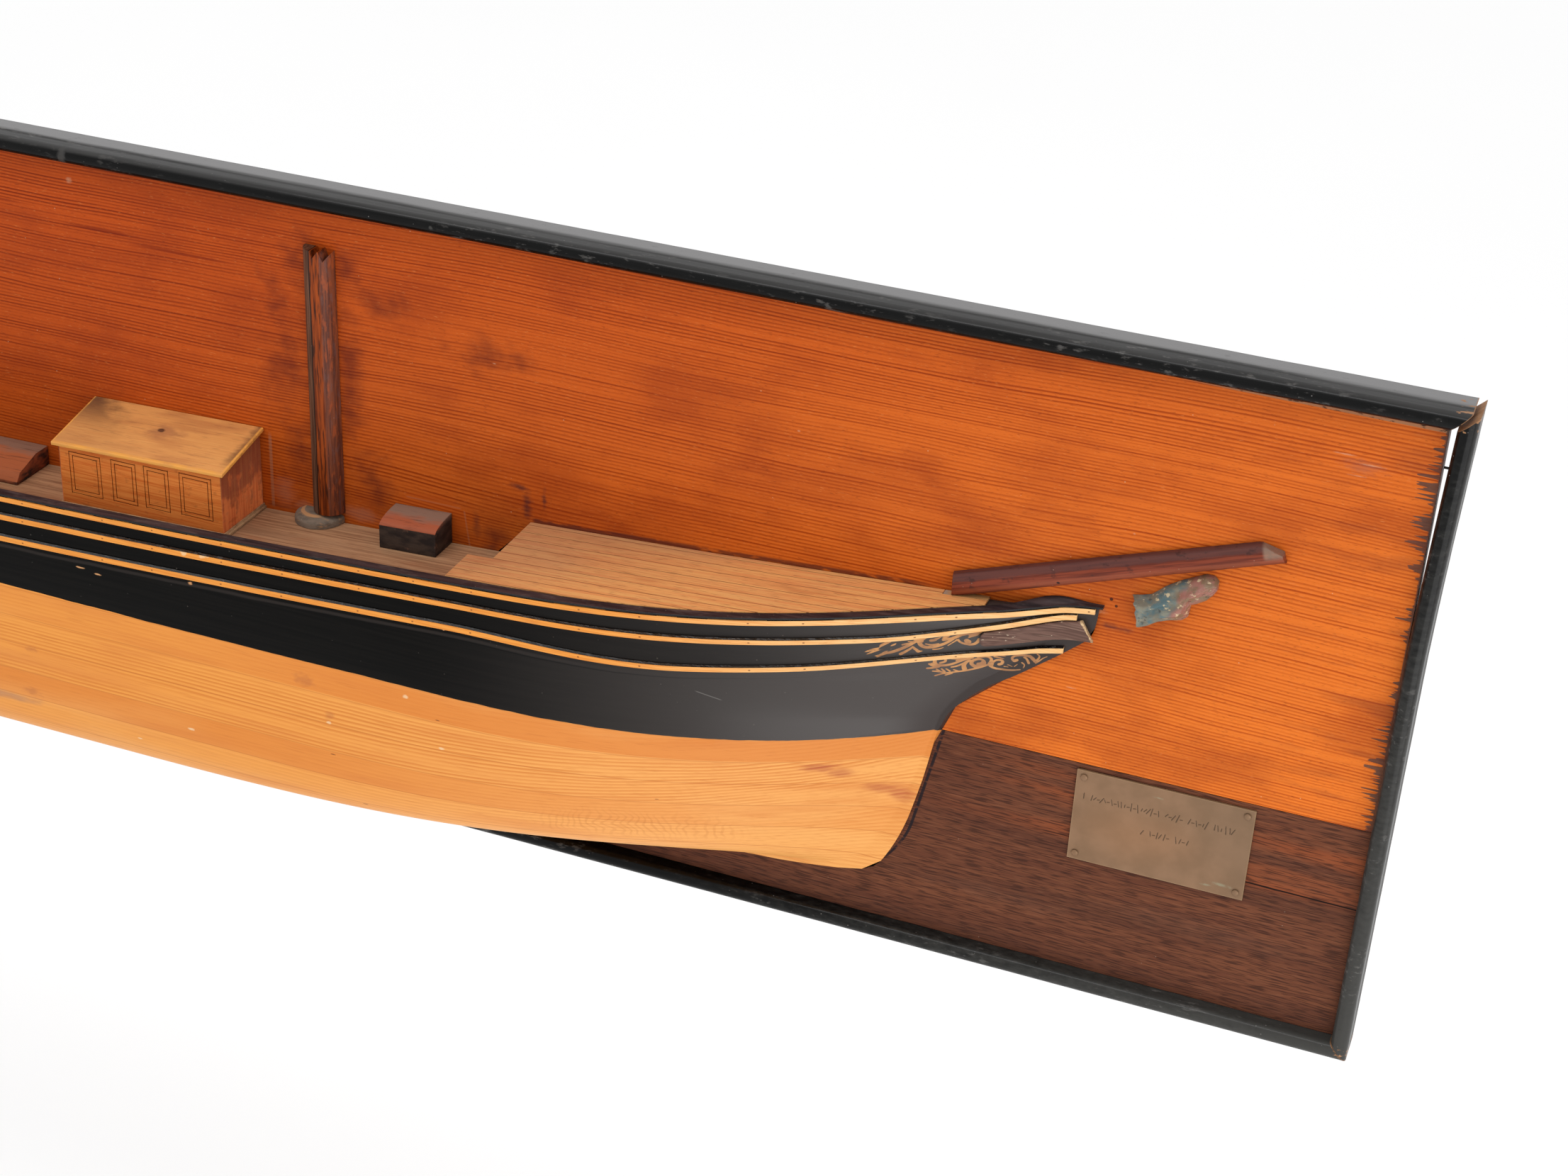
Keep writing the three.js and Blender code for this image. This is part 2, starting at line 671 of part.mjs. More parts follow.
function batten(place) {
  const from = sternAt(sheerAt(sternFoot) - place.drop - BATTEN_FACE) + CAP_WIDTH;
  const to = head - place.setback;
  return ringLoft(stationShares.map((u) => {
    const x = lerp(from, to, u);
    const top = battenTop(x, place);
    const bottom = top - BATTEN_FACE;
    const ledge = Math.min(top + BATTEN_LEDGE, capUnder(x));
    const lower = halfBreadth(x, bottom) + BATTEN_SEAT;
    const upper = halfBreadth(x, ledge) + BATTEN_SEAT;
    return [
      point(x, lower, bottom),
      point(x, lower + BATTEN_STAND, bottom),
      point(x, upper + BATTEN_STAND, top),
      point(x, upper, ledge),
    ];
  }));
}

// Trail board stub: it lies along the middle batten and ends in a ragged break
function trailBoard() {
  const from = stemFoot + TRAIL_FROM_STEM;
  return ringLoft(spaced(0, 1, TRAIL_STATIONS).map((u) => {
    const x = from + TRAIL_LENGTH * u;
    const round = Math.max(0, 1 - (TRAIL_LENGTH * u) / TRAIL_ROUNDING);
    const inset = TRAIL_ROUNDING * (1 - Math.sqrt(1 - round * round));
    const top = battenTop(x, MIDDLE_BATTEN) - BATTEN_FACE - seat;
    const high = top - inset;
    const low = top - lerp(TRAIL_HEIGHT, TRAIL_END_HEIGHT, u) + inset;
    const lowBack = halfBreadth(x, low) + BATTEN_SEAT;
    const highBack = halfBreadth(x, high) + BATTEN_SEAT;
    const shift = TRAIL_BREAK.map((b) => b * clamp01(u * TRAIL_STATIONS - TRAIL_STATIONS + 1));
    return [
      point(x + shift[4], lowBack, low),
      point(x + shift[3], lowBack + TRAIL_THICKNESS, low),
      point(x + shift[2], (lowBack + highBack) / 2 + TRAIL_THICKNESS, (low + high) / 2),
      point(x + shift[1], highBack + TRAIL_THICKNESS, high),
      point(x + shift[0], highBack, high),
    ];
  }));
}

// Deck fittings

// Solid with one section of offs and heights above the deck, along a stretch of the deck
function onDeck(from, to, section) {
  return ringLoft([from, to].map((x) => section.map(([off, height]) => point(x, off, deckAt(x) + height))));
}

const companionMiddle = forecastleBreak - COMPANION_FROM_FORECASTLE;
const foremastMiddle = companionMiddle - FOREMAST_FROM_COMPANION;
const mainMastMiddle = foremastMiddle - MAINMAST_FROM_FOREMAST;
const mizzenMiddle = poopBreak + MIZZEN_FROM_POOP;
const houseFore = foremastMiddle - HOUSE_FROM_FOREMAST;
const houseAft = houseFore - HOUSE_LENGTH;
const houseMiddle = (houseFore + houseAft) / 2;

// Upright bar that cuts one engraved line into the front of the deckhouse
function engravedBar(x, width, height, length) {
  const floor = deckAt(x) + height;
  return blockAt(
    x - width / 2, x + width / 2,
    HOUSE_DEPTH - PANEL_LINE_DEPTH, HOUSE_DEPTH + PANEL_LINE_DEPTH,
    floor, floor + length,
  );
}

// The four bars of an engraved rectangle
function engravedFrame(centre, width, bottom, height) {
  const side = width / 2 - PANEL_LINE / 2;
  return [
    engravedBar(centre - side, PANEL_LINE, bottom, height),
    engravedBar(centre + side, PANEL_LINE, bottom, height),
    engravedBar(centre, width, bottom, PANEL_LINE),
    engravedBar(centre, width, bottom + height - PANEL_LINE, PANEL_LINE),
  ];
}

function deckhouse() {
  const body = onDeck(houseAft, houseFore, [
    [seat, GLUE_GAP],
    [HOUSE_DEPTH, GLUE_GAP],
    [HOUSE_DEPTH, HOUSE_FRONT_HEIGHT],
    [seat, HOUSE_BACK_HEIGHT],
  ]);
  const panels = [
    [-OUTER_PANEL_CENTRE, OUTER_PANEL_WIDTH],
    [-INNER_PANEL_CENTRE, INNER_PANEL_WIDTH],
    [INNER_PANEL_CENTRE, INNER_PANEL_WIDTH],
    [OUTER_PANEL_CENTRE, OUTER_PANEL_WIDTH],
  ];
  const lines = panels.flatMap(([centre, width]) => [0, PANEL_LINE_STEP].flatMap((inset) => engravedFrame(
    houseMiddle + centre, width - inset * 2, PANEL_BOTTOM + inset, PANEL_HEIGHT - inset * 2,
  )));
  return cut(body, ...lines);
}

function deckhouseRoof() {
  const slope = (HOUSE_BACK_HEIGHT - HOUSE_FRONT_HEIGHT) / (HOUSE_DEPTH - seat);
  const eave = HOUSE_FRONT_HEIGHT - slope * ROOF_OVERHANG + GLUE_GAP;
  const back = HOUSE_BACK_HEIGHT + GLUE_GAP;
  return onDeck(houseAft - ROOF_OVERHANG, houseFore + ROOF_OVERHANG, [
    [seat, back],
    [HOUSE_DEPTH + ROOF_OVERHANG, eave],
    [HOUSE_DEPTH + ROOF_OVERHANG, eave + ROOF_THICKNESS],
    [seat, back + ROOF_THICKNESS],
  ]);
}

// Two-step moulding round three sides of the deckhouse's foot
function deckhouseBase() {
  const outer = HOUSE_DEPTH + HOUSE_BASE_STAND;
  const step = HOUSE_BASE_STAND / 2;
  const section = [
    [seat, GLUE_GAP],
    [outer, GLUE_GAP],
    [outer, HOUSE_BASE_HEIGHT / 2],
    [outer - step, HOUSE_BASE_HEIGHT / 2],
    [outer - step, HOUSE_BASE_HEIGHT],
    [seat, HOUSE_BASE_HEIGHT],
  ];
  const low = onDeck(houseAft - HOUSE_BASE_STAND, houseFore + HOUSE_BASE_STAND, section);
  const hole = onDeck(houseAft - GLUE_GAP, houseFore + GLUE_GAP, [
    [0, -HOUSE_BASE_HEIGHT],
    [HOUSE_DEPTH + GLUE_GAP, -HOUSE_BASE_HEIGHT],
    [HOUSE_DEPTH + GLUE_GAP, HOUSE_BASE_HEIGHT * 2],
    [0, HOUSE_BASE_HEIGHT * 2],
  ]);
  const shave = (from, to) => onDeck(from, to, [
    [0, HOUSE_BASE_HEIGHT / 2],
    [outer + step, HOUSE_BASE_HEIGHT / 2],
    [outer + step, HOUSE_BASE_HEIGHT * 2],
    [0, HOUSE_BASE_HEIGHT * 2],
  ]);
  return cut(
    low, hole,
    shave(houseAft - HOUSE_BASE_STAND * 2, houseAft - step),
    shave(houseFore + step, houseFore + HOUSE_BASE_STAND * 2),
  );
}

// Half-round stub, its top broken into saw-tooth notches
function mast(centre, belowEdge, scale) {
  const foot = deckAt(centre) + COAT_SEAT_HEIGHT + MAST_FOOT_CLEARANCE;
  const top = boardTop - belowEdge;
  const ring = (radius, z) => spaced(0, Math.PI, MAST_SIDES).map((a) => point(
    centre - radius * scale * Math.cos(a),
    GLUE_GAP + radius * scale * Math.sin(a),
    z,
  ));
  const stub = ringLoft([ring(MAST_RADIUS, foot), ring(MAST_TOP_RADIUS, top)]);
  const notches = NOTCHES.map(({ at, depth }) => ringLoft([0, MAST_RADIUS * 2].map((off) => [
    point(centre + at * scale, off, top - depth),
    point(centre + at * scale + depth * 2 * NOTCH_EASY_SLOPE, off, top + depth),
    point(centre + at * scale - depth * 2 * NOTCH_STEEP_SLOPE, off, top + depth),
  ])));
  return cut(stub, ...notches);
}

// Half disc round the mast's foot, its top rising to a seat
function mastCoat(mastMiddle, scale) {
  const centre = mastMiddle - COAT_OFFSET * scale;
  const ring = (radius, height) => spaced(0, Math.PI, COAT_SIDES).map((a) => point(
    centre - radius * scale * Math.cos(a),
    GLUE_GAP + radius * scale * Math.sin(a),
    deckAt(centre - radius * scale * Math.cos(a)) + height,
  ));
  return ringLoft([
    ring(COAT_RADIUS, GLUE_GAP),
    ring(COAT_RADIUS, COAT_HEIGHT),
    ring(COAT_SEAT_RADIUS, COAT_SEAT_HEIGHT),
  ]);
}

function companionHatch() {
  const roof = spaced(0, Math.PI / 2, COMPANION_ROOF_STEPS).map((a) => [
    seat + (COMPANION_DEPTH - seat) * Math.cos(a),
    lerp(COMPANION_FRONT_HEIGHT, COMPANION_BACK_HEIGHT, Math.sin(a)),
  ]);
  return onDeck(companionMiddle - COMPANION_LENGTH / 2, companionMiddle + COMPANION_LENGTH / 2, [
    [seat, GLUE_GAP],
    [COMPANION_DEPTH, GLUE_GAP],
    ...roof,
  ]);
}

function skylight() {
  const fore = houseAft - SKYLIGHT_FROM_HOUSE;
  return onDeck(fore - SKYLIGHT_LENGTH, fore, [
    [seat, GLUE_GAP],
    [SKYLIGHT_FRONT[0], GLUE_GAP],
    SKYLIGHT_FRONT,
    SKYLIGHT_EAVE,
    SKYLIGHT_RIDGE,
    [seat, SKYLIGHT_BACK_HEIGHT],
  ]);
}

function mainHatch() {
  const middle = mainMastMiddle - MAIN_HATCH_FROM_MAINMAST;
  return onDeck(middle - MAIN_HATCH_LENGTH / 2, middle + MAIN_HATCH_LENGTH / 2, [
    [seat, GLUE_GAP],
    [MAIN_HATCH_DEPTH, GLUE_GAP],
    [MAIN_HATCH_DEPTH, MAIN_HATCH_HEIGHT - COAMING_CHAMFER],
    [MAIN_HATCH_DEPTH - COAMING_CHAMFER, MAIN_HATCH_HEIGHT],
    [seat, MAIN_HATCH_HEIGHT],
  ]);
}

// Pieces on the board and at the ends of the hull

// Half-round spar with its heel cut upright and a notch in its fore end
const steeve = THREE.MathUtils.degToRad(BOWSPRIT_STEEVE);
const bowspritHeel = sheerAt(stemFoot) + BOWSPRIT_HEEL_ABOVE_RAIL;

function bowsprit() {
  const at = (along, off, across) => point(
    stemFoot + along * Math.cos(steeve) - across * Math.sin(steeve),
    off,
    bowspritHeel + along * Math.sin(steeve) + across * Math.cos(steeve),
  );
  const ring = (radius, along, lean, skew) => spaced(0, Math.PI, BOWSPRIT_SIDES).map((a) => {
    const across = radius * Math.cos(a);
    const off = radius * Math.sin(a);
    return at(along + across * lean + off * skew, GLUE_GAP + off, across);
  });
  const spar = ringLoft([
    ring(BOWSPRIT_RADIUS, 0, Math.tan(steeve), BOWSPRIT_HEEL_SKEW),
    ring(BOWSPRIT_TIP_RADIUS, BOWSPRIT_LENGTH, 0, 0),
  ]);
  const overDeck = deckSolid(
    [stemFoot - BOWSPRIT_RADIUS, insertTip + BOWSPRIT_RADIUS],
    () => -GLUE_GAP, () => BOWSPRIT_RADIUS * 2,
    () => seam, (x) => sheerAt(x) + DECK_PROUD + GLUE_GAP,
  );
  const start = BOWSPRIT_LENGTH - BOWSPRIT_NOTCH_LENGTH;
  const bevel = ringLoft([-GLUE_GAP, BOWSPRIT_RADIUS * 2].map((off) => [
    at(start, off, BOWSPRIT_TIP_RADIUS * 2),
    at(start, off, BOWSPRIT_TIP_RADIUS),
    at(BOWSPRIT_LENGTH + GLUE_GAP, off, BOWSPRIT_TIP_RADIUS - BOWSPRIT_NOTCH_DEPTH * 2),
    at(BOWSPRIT_LENGTH + GLUE_GAP, off, BOWSPRIT_TIP_RADIUS * 2),
  ]));
  return cut(spar, bevel, overDeck);
}

// Draped fragment whose relief swells between its upper and lower edge
function figurehead() {
  const last = FIGURE_EDGE.length - 1;
  const axisAt = (ahead) => bowspritHeel + ahead * Math.tan(steeve);
  return ringLoft(FIGURE_EDGE.map(([upper, lower], i) => {
    const along = i / last;
    const depth = lerp(FIGURE_DEPTH, FIGURE_END_DEPTH, along ** 3);
    return spaced(0, 1, FIGURE_SIDES).map((t) => {
      const fold = FIGURE_FOLD * Math.sin(Math.PI * (FIGURE_FOLDS * t + 2 * along)) * Math.sin(Math.PI * t);
      const relief = (depth + fold) * Math.sin(Math.PI * t) ** FIGURE_FULLNESS;
      return point(
        stemFoot + lerp(upper[0], lower[0], t) + FIGURE_SKEW * relief * (1 - along),
        GLUE_GAP + relief,
        axisAt(lerp(upper[0], lower[0], t)) - lerp(upper[1], lower[1], t),
      );
    });
  }));
}

function rudder() {
  const foot = keelHeight + RUDDER_CLEARANCE;
  const top = seam - COUNTER_DROP - RUDDER_CLEARANCE;
  return ringLoft(spaced(0, 1, RUDDER_STEPS).map((up) => {
    const z = lerp(foot, top, up);
    const fore = sternAt(z) - RUDDER_CLEARANCE;
    const aft = fore - lerp(RUDDER_WIDTH, RUDDER_HEAD_WIDTH, up);
    return [
      point(aft, GLUE_GAP, z),
      point(fore, GLUE_GAP, z),
      point(fore, RUDDER_THICKNESS, z),
      point(aft, RUDDER_THICKNESS, z),
    ];
  }));
}

const plateRight = boardRight - PLATE_FROM_END;
const plateTop = seam - PLATE_BELOW_SEAM;

function namePlate() {
  const corner = PLATE_CORNER;
  const outline = [
    [-PLATE_LENGTH + corner, 0],
    [-PLATE_LENGTH, -corner],
    [-PLATE_LENGTH, -PLATE_HEIGHT + corner],
    [-PLATE_LENGTH + corner, -PLATE_HEIGHT],
    [-corner, -PLATE_HEIGHT],
    [0, -PLATE_HEIGHT + corner],
    [0, -corner],
    [-corner, 0],
  ];
  return ringLoft([GLUE_GAP, GLUE_GAP + PLATE_THICKNESS].map((off) => (
    outline.map(([x, z]) => point(plateRight + x, off, plateTop + z))
  )));
}

function platePin(x, z) {
  const foot = GLUE_GAP + PLATE_THICKNESS + GLUE_GAP;
  const ring = (radius, off) => spaced(0, 2 * Math.PI, PIN_SIDES).slice(1).map((a) => (
    point(x + radius * Math.cos(a), off, z + radius * Math.sin(a))
  ));
  return ringLoft([
    ring(PIN_RADIUS, foot),
    ring(PIN_RADIUS, foot + PIN_HEIGHT / 2),
    ring(PIN_RADIUS * PIN_CROWN, foot + PIN_HEIGHT),
  ]);
}

// Backboard and mouldings

// Section of the moulding: depth from the wall, and thickness out from the board's edge
function mouldingSection() {
  const radius = MOULDING_THICKNESS / 2;
  const face = BOARD_THICKNESS + MOULDING_NOSE - radius;
  const nose = spaced(0, Math.PI, NOSE_STEPS).map((a) => new THREE.Vector2(
    face + radius * Math.sin(a),
    radius - radius * Math.cos(a),
  ));
  return [new THREE.Vector2(0, MOULDING_THICKNESS), new THREE.Vector2(0, 0), ...nose];
}

// Mitred length of moulding along one edge of the board, as rings along its run
function moulding(run, steps, place) {
  const section = mouldingSection();
  return ringLoft(spaced(-1, 1, steps).map((share) => section.map(({ x: depth, y: out }) => {
    const along = share * (run / 2 + out + MITRE_GAP);
    return place(along, -depth, out + GLUE_GAP);
  })));
}

// How far the loose end moulding has sprung away from the board at a height
function springOut(z) {
  const start = boardTop + MOULDING_THICKNESS - END_SPRING_LENGTH;
  return END_SPRING_OUT * clamp01((z - start) / END_SPRING_LENGTH) ** END_SPRING_POWER;
}

// Nail that bridges the gap behind the sprung moulding
function frameNail() {
  const height = boardTop - FRAME_NAIL_DROP;
  const length = springOut(height) - GLUE_GAP;
  const nail = new THREE.CylinderGeometry(FRAME_NAIL_RADIUS, FRAME_NAIL_RADIUS, length, FRAME_NAIL_SIDES);
  nail.rotateZ(Math.PI / 2);
  return nail.translate(boardRight + GLUE_GAP + length / 2, boardFace + FRAME_NAIL_DEPTH, height);
}

function board(from, to) {
  return blockAt(-boardRight, boardRight, -BOARD_THICKNESS, 0, from, to);
}

add("upper_board", board(seam + GLUE_GAP / 2, boardTop), "pine");
add("lower_board", board(-boardTop, seam - GLUE_GAP / 2), "darkBoard");
add(
  "top_moulding",
  moulding(boardLength, 1, (along, y, out) => new THREE.Vector3(along, y, boardTop + out)),
  "blackMoulding",
);
add(
  "bottom_moulding",
  moulding(boardLength, 1, (along, y, out) => new THREE.Vector3(along, y, -boardTop - out)),
  "blackMoulding",
);
add(
  "bow_end_moulding",
  moulding(BOARD_HEIGHT, END_MOULDING_STEPS, (along, y, out) => (
    new THREE.Vector3(boardRight + out + springOut(along), y, along)
  )),
  "blackMoulding",
);
add(
  "stern_end_moulding",
  moulding(BOARD_HEIGHT, 1, (along, y, out) => new THREE.Vector3(-boardRight - out, y, along)),
  "blackMoulding",
);
add("frame_nail", frameNail(), "steel");

add("hull", hullSolid(), "hull");
add("cap_rail", capRail(), "blackRail");
add("upper_batten", batten(UPPER_BATTEN), "batten");
add("middle_batten", batten(MIDDLE_BATTEN), "batten");
add("lower_batten", batten(LOWER_BATTEN), "batten");
add("trail_board", trailBoard(), "purplePaint");
add("main_deck", mainDeck(), "deck");
add("forecastle_deck", forecastleDeck(), "deck");
add("deck_insert", deckInsert(), "paleWood");
add("poop_deck", poopDeck(), "deck");
add("rudder", rudder(), "hull");

add("deckhouse", deckhouse(), "fruitwood");
add("deckhouse_roof", deckhouseRoof(), "fruitwood");
add("deckhouse_base", deckhouseBase(), "greyPaint");
add("skylight", skylight(), "spar");
add("companion_hatch", companionHatch(), "blackPaint");
add("main_hatch", mainHatch(), "spar");
add("foremast", mast(foremastMiddle, MAST_TOP_BELOW_EDGE, 1), "spar");
add("foremast_coat", mastCoat(foremastMiddle, 1), "greyPaint");
add("main_mast", mast(mainMastMiddle, MAST_TOP_BELOW_EDGE, 1), "spar");
add("main_mast_coat", mastCoat(mainMastMiddle, 1), "greyPaint");
add("mizzen_mast", mast(mizzenMiddle, MIZZEN_TOP_BELOW_EDGE, MIZZEN_SCALE), "spar");
add("mizzen_mast_coat", mastCoat(mizzenMiddle, MIZZEN_SCALE), "greyPaint");

add("bowsprit", bowsprit(), "spar");
add("figurehead", figurehead(), "drapery");
add("name_plate", namePlate(), "brass");
[-PLATE_LENGTH + PIN_INSET, -PIN_INSET].forEach((x, i) => {
  [-PIN_INSET, -PLATE_HEIGHT + PIN_INSET].forEach((z, j) => {
    add(`plate_pin_${1 + i + 2 * j}`, platePin(plateRight + x, plateTop + z), "brass");
  });
});

export default group;
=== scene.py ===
"""Looks of the half hull model: fine pieces, finishes, camera and studio light.

Shapes are worked out in millimetres and scaled to metres as each mesh is finished.
A place is given along the hull, off the board's face and up.
"""
import math
import random
from itertools import accumulate

import bmesh
import bpy
import numpy as np
from mathutils import Matrix, Vector, noise


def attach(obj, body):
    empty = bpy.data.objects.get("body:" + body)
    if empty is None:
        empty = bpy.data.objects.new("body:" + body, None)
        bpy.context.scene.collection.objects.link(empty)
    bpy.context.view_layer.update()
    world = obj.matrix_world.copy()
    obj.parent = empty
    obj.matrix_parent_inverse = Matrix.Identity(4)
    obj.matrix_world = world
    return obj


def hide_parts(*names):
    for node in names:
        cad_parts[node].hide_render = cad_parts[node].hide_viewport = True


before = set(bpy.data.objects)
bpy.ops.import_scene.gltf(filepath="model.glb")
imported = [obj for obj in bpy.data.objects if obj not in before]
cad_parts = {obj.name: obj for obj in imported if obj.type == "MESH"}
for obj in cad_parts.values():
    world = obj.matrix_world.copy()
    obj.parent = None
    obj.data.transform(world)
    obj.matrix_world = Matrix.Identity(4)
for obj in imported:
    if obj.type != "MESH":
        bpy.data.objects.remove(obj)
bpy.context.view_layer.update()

MM = 0.001

# The board: its front, top and bow end, and the gap that parts one glued piece from the next
FACE = -14.0
BOARD_TOP = 160.0
BOARD_RIGHT = 870.0
GAP = 0.3
SEAT = 0.6

# The hull: heights, ends of the waterline, the foremost point, and the lowest point of the rail's sweep
WATERLINE = -44.0
DEPTH = 100.0
KEEL = WATERLINE - DEPTH
FREEBOARD = 47.3
HALF_BEAM, RAIL_HALF_BEAM = 73.8, 68.8
STEM_FOOT = 664.0
STERN_FOOT = -736.0
HEAD = 734.0
SHEER_LOW = -68.0
SHEER_TO_BOW, SHEER_TO_STERN = 28.1, 22

# Along the deck: breaks of its levels, and middles or ends of what stands on it
POOP_BREAK = -546.0
WING_BREAK = 436.3
FORECASTLE_BREAK = 449.5
COMPANION = 390.8
FOREMAST = 337.8
MAIN_MAST = -106.0
MIZZEN = -466.0
SKYLIGHT = (103.8, 169.8)
MAIN_HATCH = (-265.0, -207.0)


# ---------------------------------------------------------------- camera and light

def make_camera():
    """Stands and looks as fitted to the board's straight edges in the photograph."""
    data = bpy.data.cameras.new("camera")
    data.lens = 58.59
    data.sensor_width = 36
    data.clip_start, data.clip_end = 0.02, 60
    camera = bpy.data.objects.new("camera", data)
    right = Vector((0.9335, 0.3552, 0.0489)).normalized()
    ahead = Vector((-0.2888, 0.8256, -0.4848))
    ahead = (ahead - right * ahead.dot(right)).normalized()
    up = right.cross(ahead)
    turn = Matrix((right, up, -ahead)).transposed().to_4x4()
    camera.matrix_world = Matrix.Translation((0.9318, -1.014, 0.600)) @ turn
    bpy.context.scene.collection.objects.link(camera)
    bpy.context.scene.camera = camera


def soft_box(name, place, towards, size, power):
    data = bpy.data.lights.new(name, "AREA")
    data.shape = "RECTANGLE"
    data.size, data.size_y = size
    data.energy = power
    lamp = bpy.data.objects.new(name, data)
    lamp.location = place
    lamp.rotation_euler = (Vector(towards) - Vector(place)).to_track_quat("-Z", "Y").to_euler()
    bpy.context.scene.collection.objects.link(lamp)


# ---------------------------------------------------------------- hull form, as in the part

def lerp(a, b, t):
    return a + (b - a) * t


def clamp01(t):
    return min(1.0, max(0.0, t))


def smooth(t):
    c = clamp01(t)
    return c * c * (3 - 2 * c)


def stem_table():
    """Heights from the waterline and reach of the stem, along a centripetal curve through its profile."""
    below = [(-1, -1), (-0.985, -0.6933), (-0.968, -0.5067), (-0.932, -0.32), (-0.9, -0.22),
             (-0.855, -0.1693), (-0.763, -0.1313), (-0.587, -0.084), (-0.27, -0.0327)]
    above = [(0, 0), (0.0714, 0.0286), (0.1216, 0.0543), (0.1867, 0.1057), (0.2531, 0.1686),
             (0.3246, 0.2471), (0.3972, 0.3386), (0.4762, 0.4657), (0.6015, 0.6429),
             (0.7306, 0.8171), (0.8584, 0.9629), (0.9524, 0.9914), (1.1028, 1)]
    forefoot, head_rise, head_reach = 150, 79.8, HEAD - STEM_FOOT
    p = np.array([(h * DEPTH, r * forefoot) for h, r in below]
                 + [(h * head_rise, r * head_reach) for h, r in above])
    p = np.vstack([2 * p[0] - p[1], p, 2 * p[-1] - p[-2]])
    found = []
    for i in range(1, len(p) - 2):
        a, b, c, d = p[i - 1:i + 3]
        t = np.cumsum([0] + [np.linalg.norm(q - r) ** 0.5 for q, r in ((b, a), (c, b), (d, c))])
        for s in np.linspace(t[1], t[2], 24, endpoint=False):
            ab = a + (b - a) * (s - t[0]) / (t[1] - t[0])
            bc = b + (c - b) * (s - t[1]) / (t[2] - t[1])
            cd = c + (d - c) * (s - t[2]) / (t[3] - t[2])
            abc = ab + (bc - ab) * (s - t[0]) / (t[2] - t[0])
            bcd = bc + (cd - bc) * (s - t[1]) / (t[3] - t[1])
            found.append(abc + (bcd - abc) * (s - t[1]) / (t[2] - t[1]))
    found.append(p[-2])
    return np.array(found).T


STEM_HEIGHTS, STEM_REACHES = stem_table()


def stem_at(z):
    return STEM_FOOT + float(np.interp(z - WATERLINE, STEM_HEIGHTS, STEM_REACHES))


def stern_at(z):
    height = z - WATERLINE
    return STERN_FOOT - 0.05 * min(0, height) - 58 * smooth((height + 4) / 46) - 0.12 * max(0, height)


def sheer_at(x):
    """Height of the rail's top, which sweeps up to both ends and a little more at the head."""
    away = x - SHEER_LOW
    if away > 0:
        rise = SHEER_TO_BOW * (away / (STEM_FOOT - SHEER_LOW)) ** 2
    else:
        rise = SHEER_TO_STERN * (away / (SHEER_LOW - STERN_FOOT)) ** 2
    return WATERLINE + FREEBOARD + rise + 4.4 * smooth((x - HEAD + 45) / 45)


def midship_at(z):
    if z >= WATERLINE:
        return lerp(HALF_BEAM, RAIL_HALF_BEAM, clamp01((z - WATERLINE) / FREEBOARD) ** 1.6)
    return HALF_BEAM * (1 - clamp01((WATERLINE - z) / DEPTH) ** 5) ** 0.2


def fullness(way, near, far, share):
    """Share of the full breadth this way in from an end. Near and far are length, power and hollow."""
    length, power, hollow = (lerp(a, b, share) for a, b in zip(near, far))
    return (1 - (1 - clamp01(way / length)) ** power) ** hollow


def half_breadth(x, z):
    """From the waterline's curves to the rail's above it and the keel's below."""
    if z > WATERLINE:
        share = clamp01((z - WATERLINE) / (sheer_at(x) - WATERLINE))
        entry, run = (285, 3, 2.1), (330, 3.4, 0.55)
    else:
        share = clamp01((WATERLINE - z) / DEPTH)
        entry, run = (385, 3, 1.8), (560, 2.4, 1.8)
    full = fullness(stem_at(z) - x, (235, 2.6, 1), entry, share)
    return max(1.5, midship_at(z) * full * fullness(x - stern_at(z), (430, 2.4, 1.1), run, share))


def cap_under(x):
    return sheer_at(x) - 1.3


def deck_at(x):
    return sheer_at(x) - 19


def rail_breadth(x):
    return half_breadth(x, cap_under(x)) + GAP


def upper_point(along, up):
    """Place and height on the skin above the waterline, at shares of the length and of the height."""
    z = lerp(WATERLINE, WATERLINE + FREEBOARD, up)
    for _ in range(7):
        x = lerp(stern_at(z), stem_at(z), along)
        z = lerp(WATERLINE, cap_under(x), up)
    return lerp(stern_at(z), stem_at(z), along), z


# ---------------------------------------------------------------- making pieces

def at(x, off, z):
    """A place from its distances along the hull, off the board's face and up."""
    return Vector((x, FACE - off, z))


def hand(x, y, z, size, seed=0):
    """A slow wobble, as a hand tool leaves it."""
    return noise.noise(Vector((x / size + seed * 7.3, y / size, z / size)))


def loft(along, across, place, region=None):
    """A sheet of quads whose corners go where place says, from their steps along and across. Corners that
    meet are welded. In a region, quads that are wholly inside it are cut finer."""
    bm = bmesh.new()
    bmesh.ops.create_grid(bm, x_segments=along, y_segments=across, size=0.5)
    for v in bm.verts:
        v.co = ((v.co.x + 0.5) * along, (v.co.y + 0.5) * across, 0)
    if region:
        inner, cuts = region
        edges = [e for e in bm.edges if all(inner(round(v.co.x), round(v.co.y)) for v in e.verts)]
        bmesh.ops.subdivide_edges(bm, edges=edges, cuts=cuts, use_grid_fill=True)
    for v in bm.verts:
        v.co = place(v.co.x, v.co.y)
    bmesh.ops.remove_doubles(bm, verts=bm.verts, dist=1e-4)
    bmesh.ops.dissolve_degenerate(bm, edges=bm.edges, dist=1e-5)
    return bm


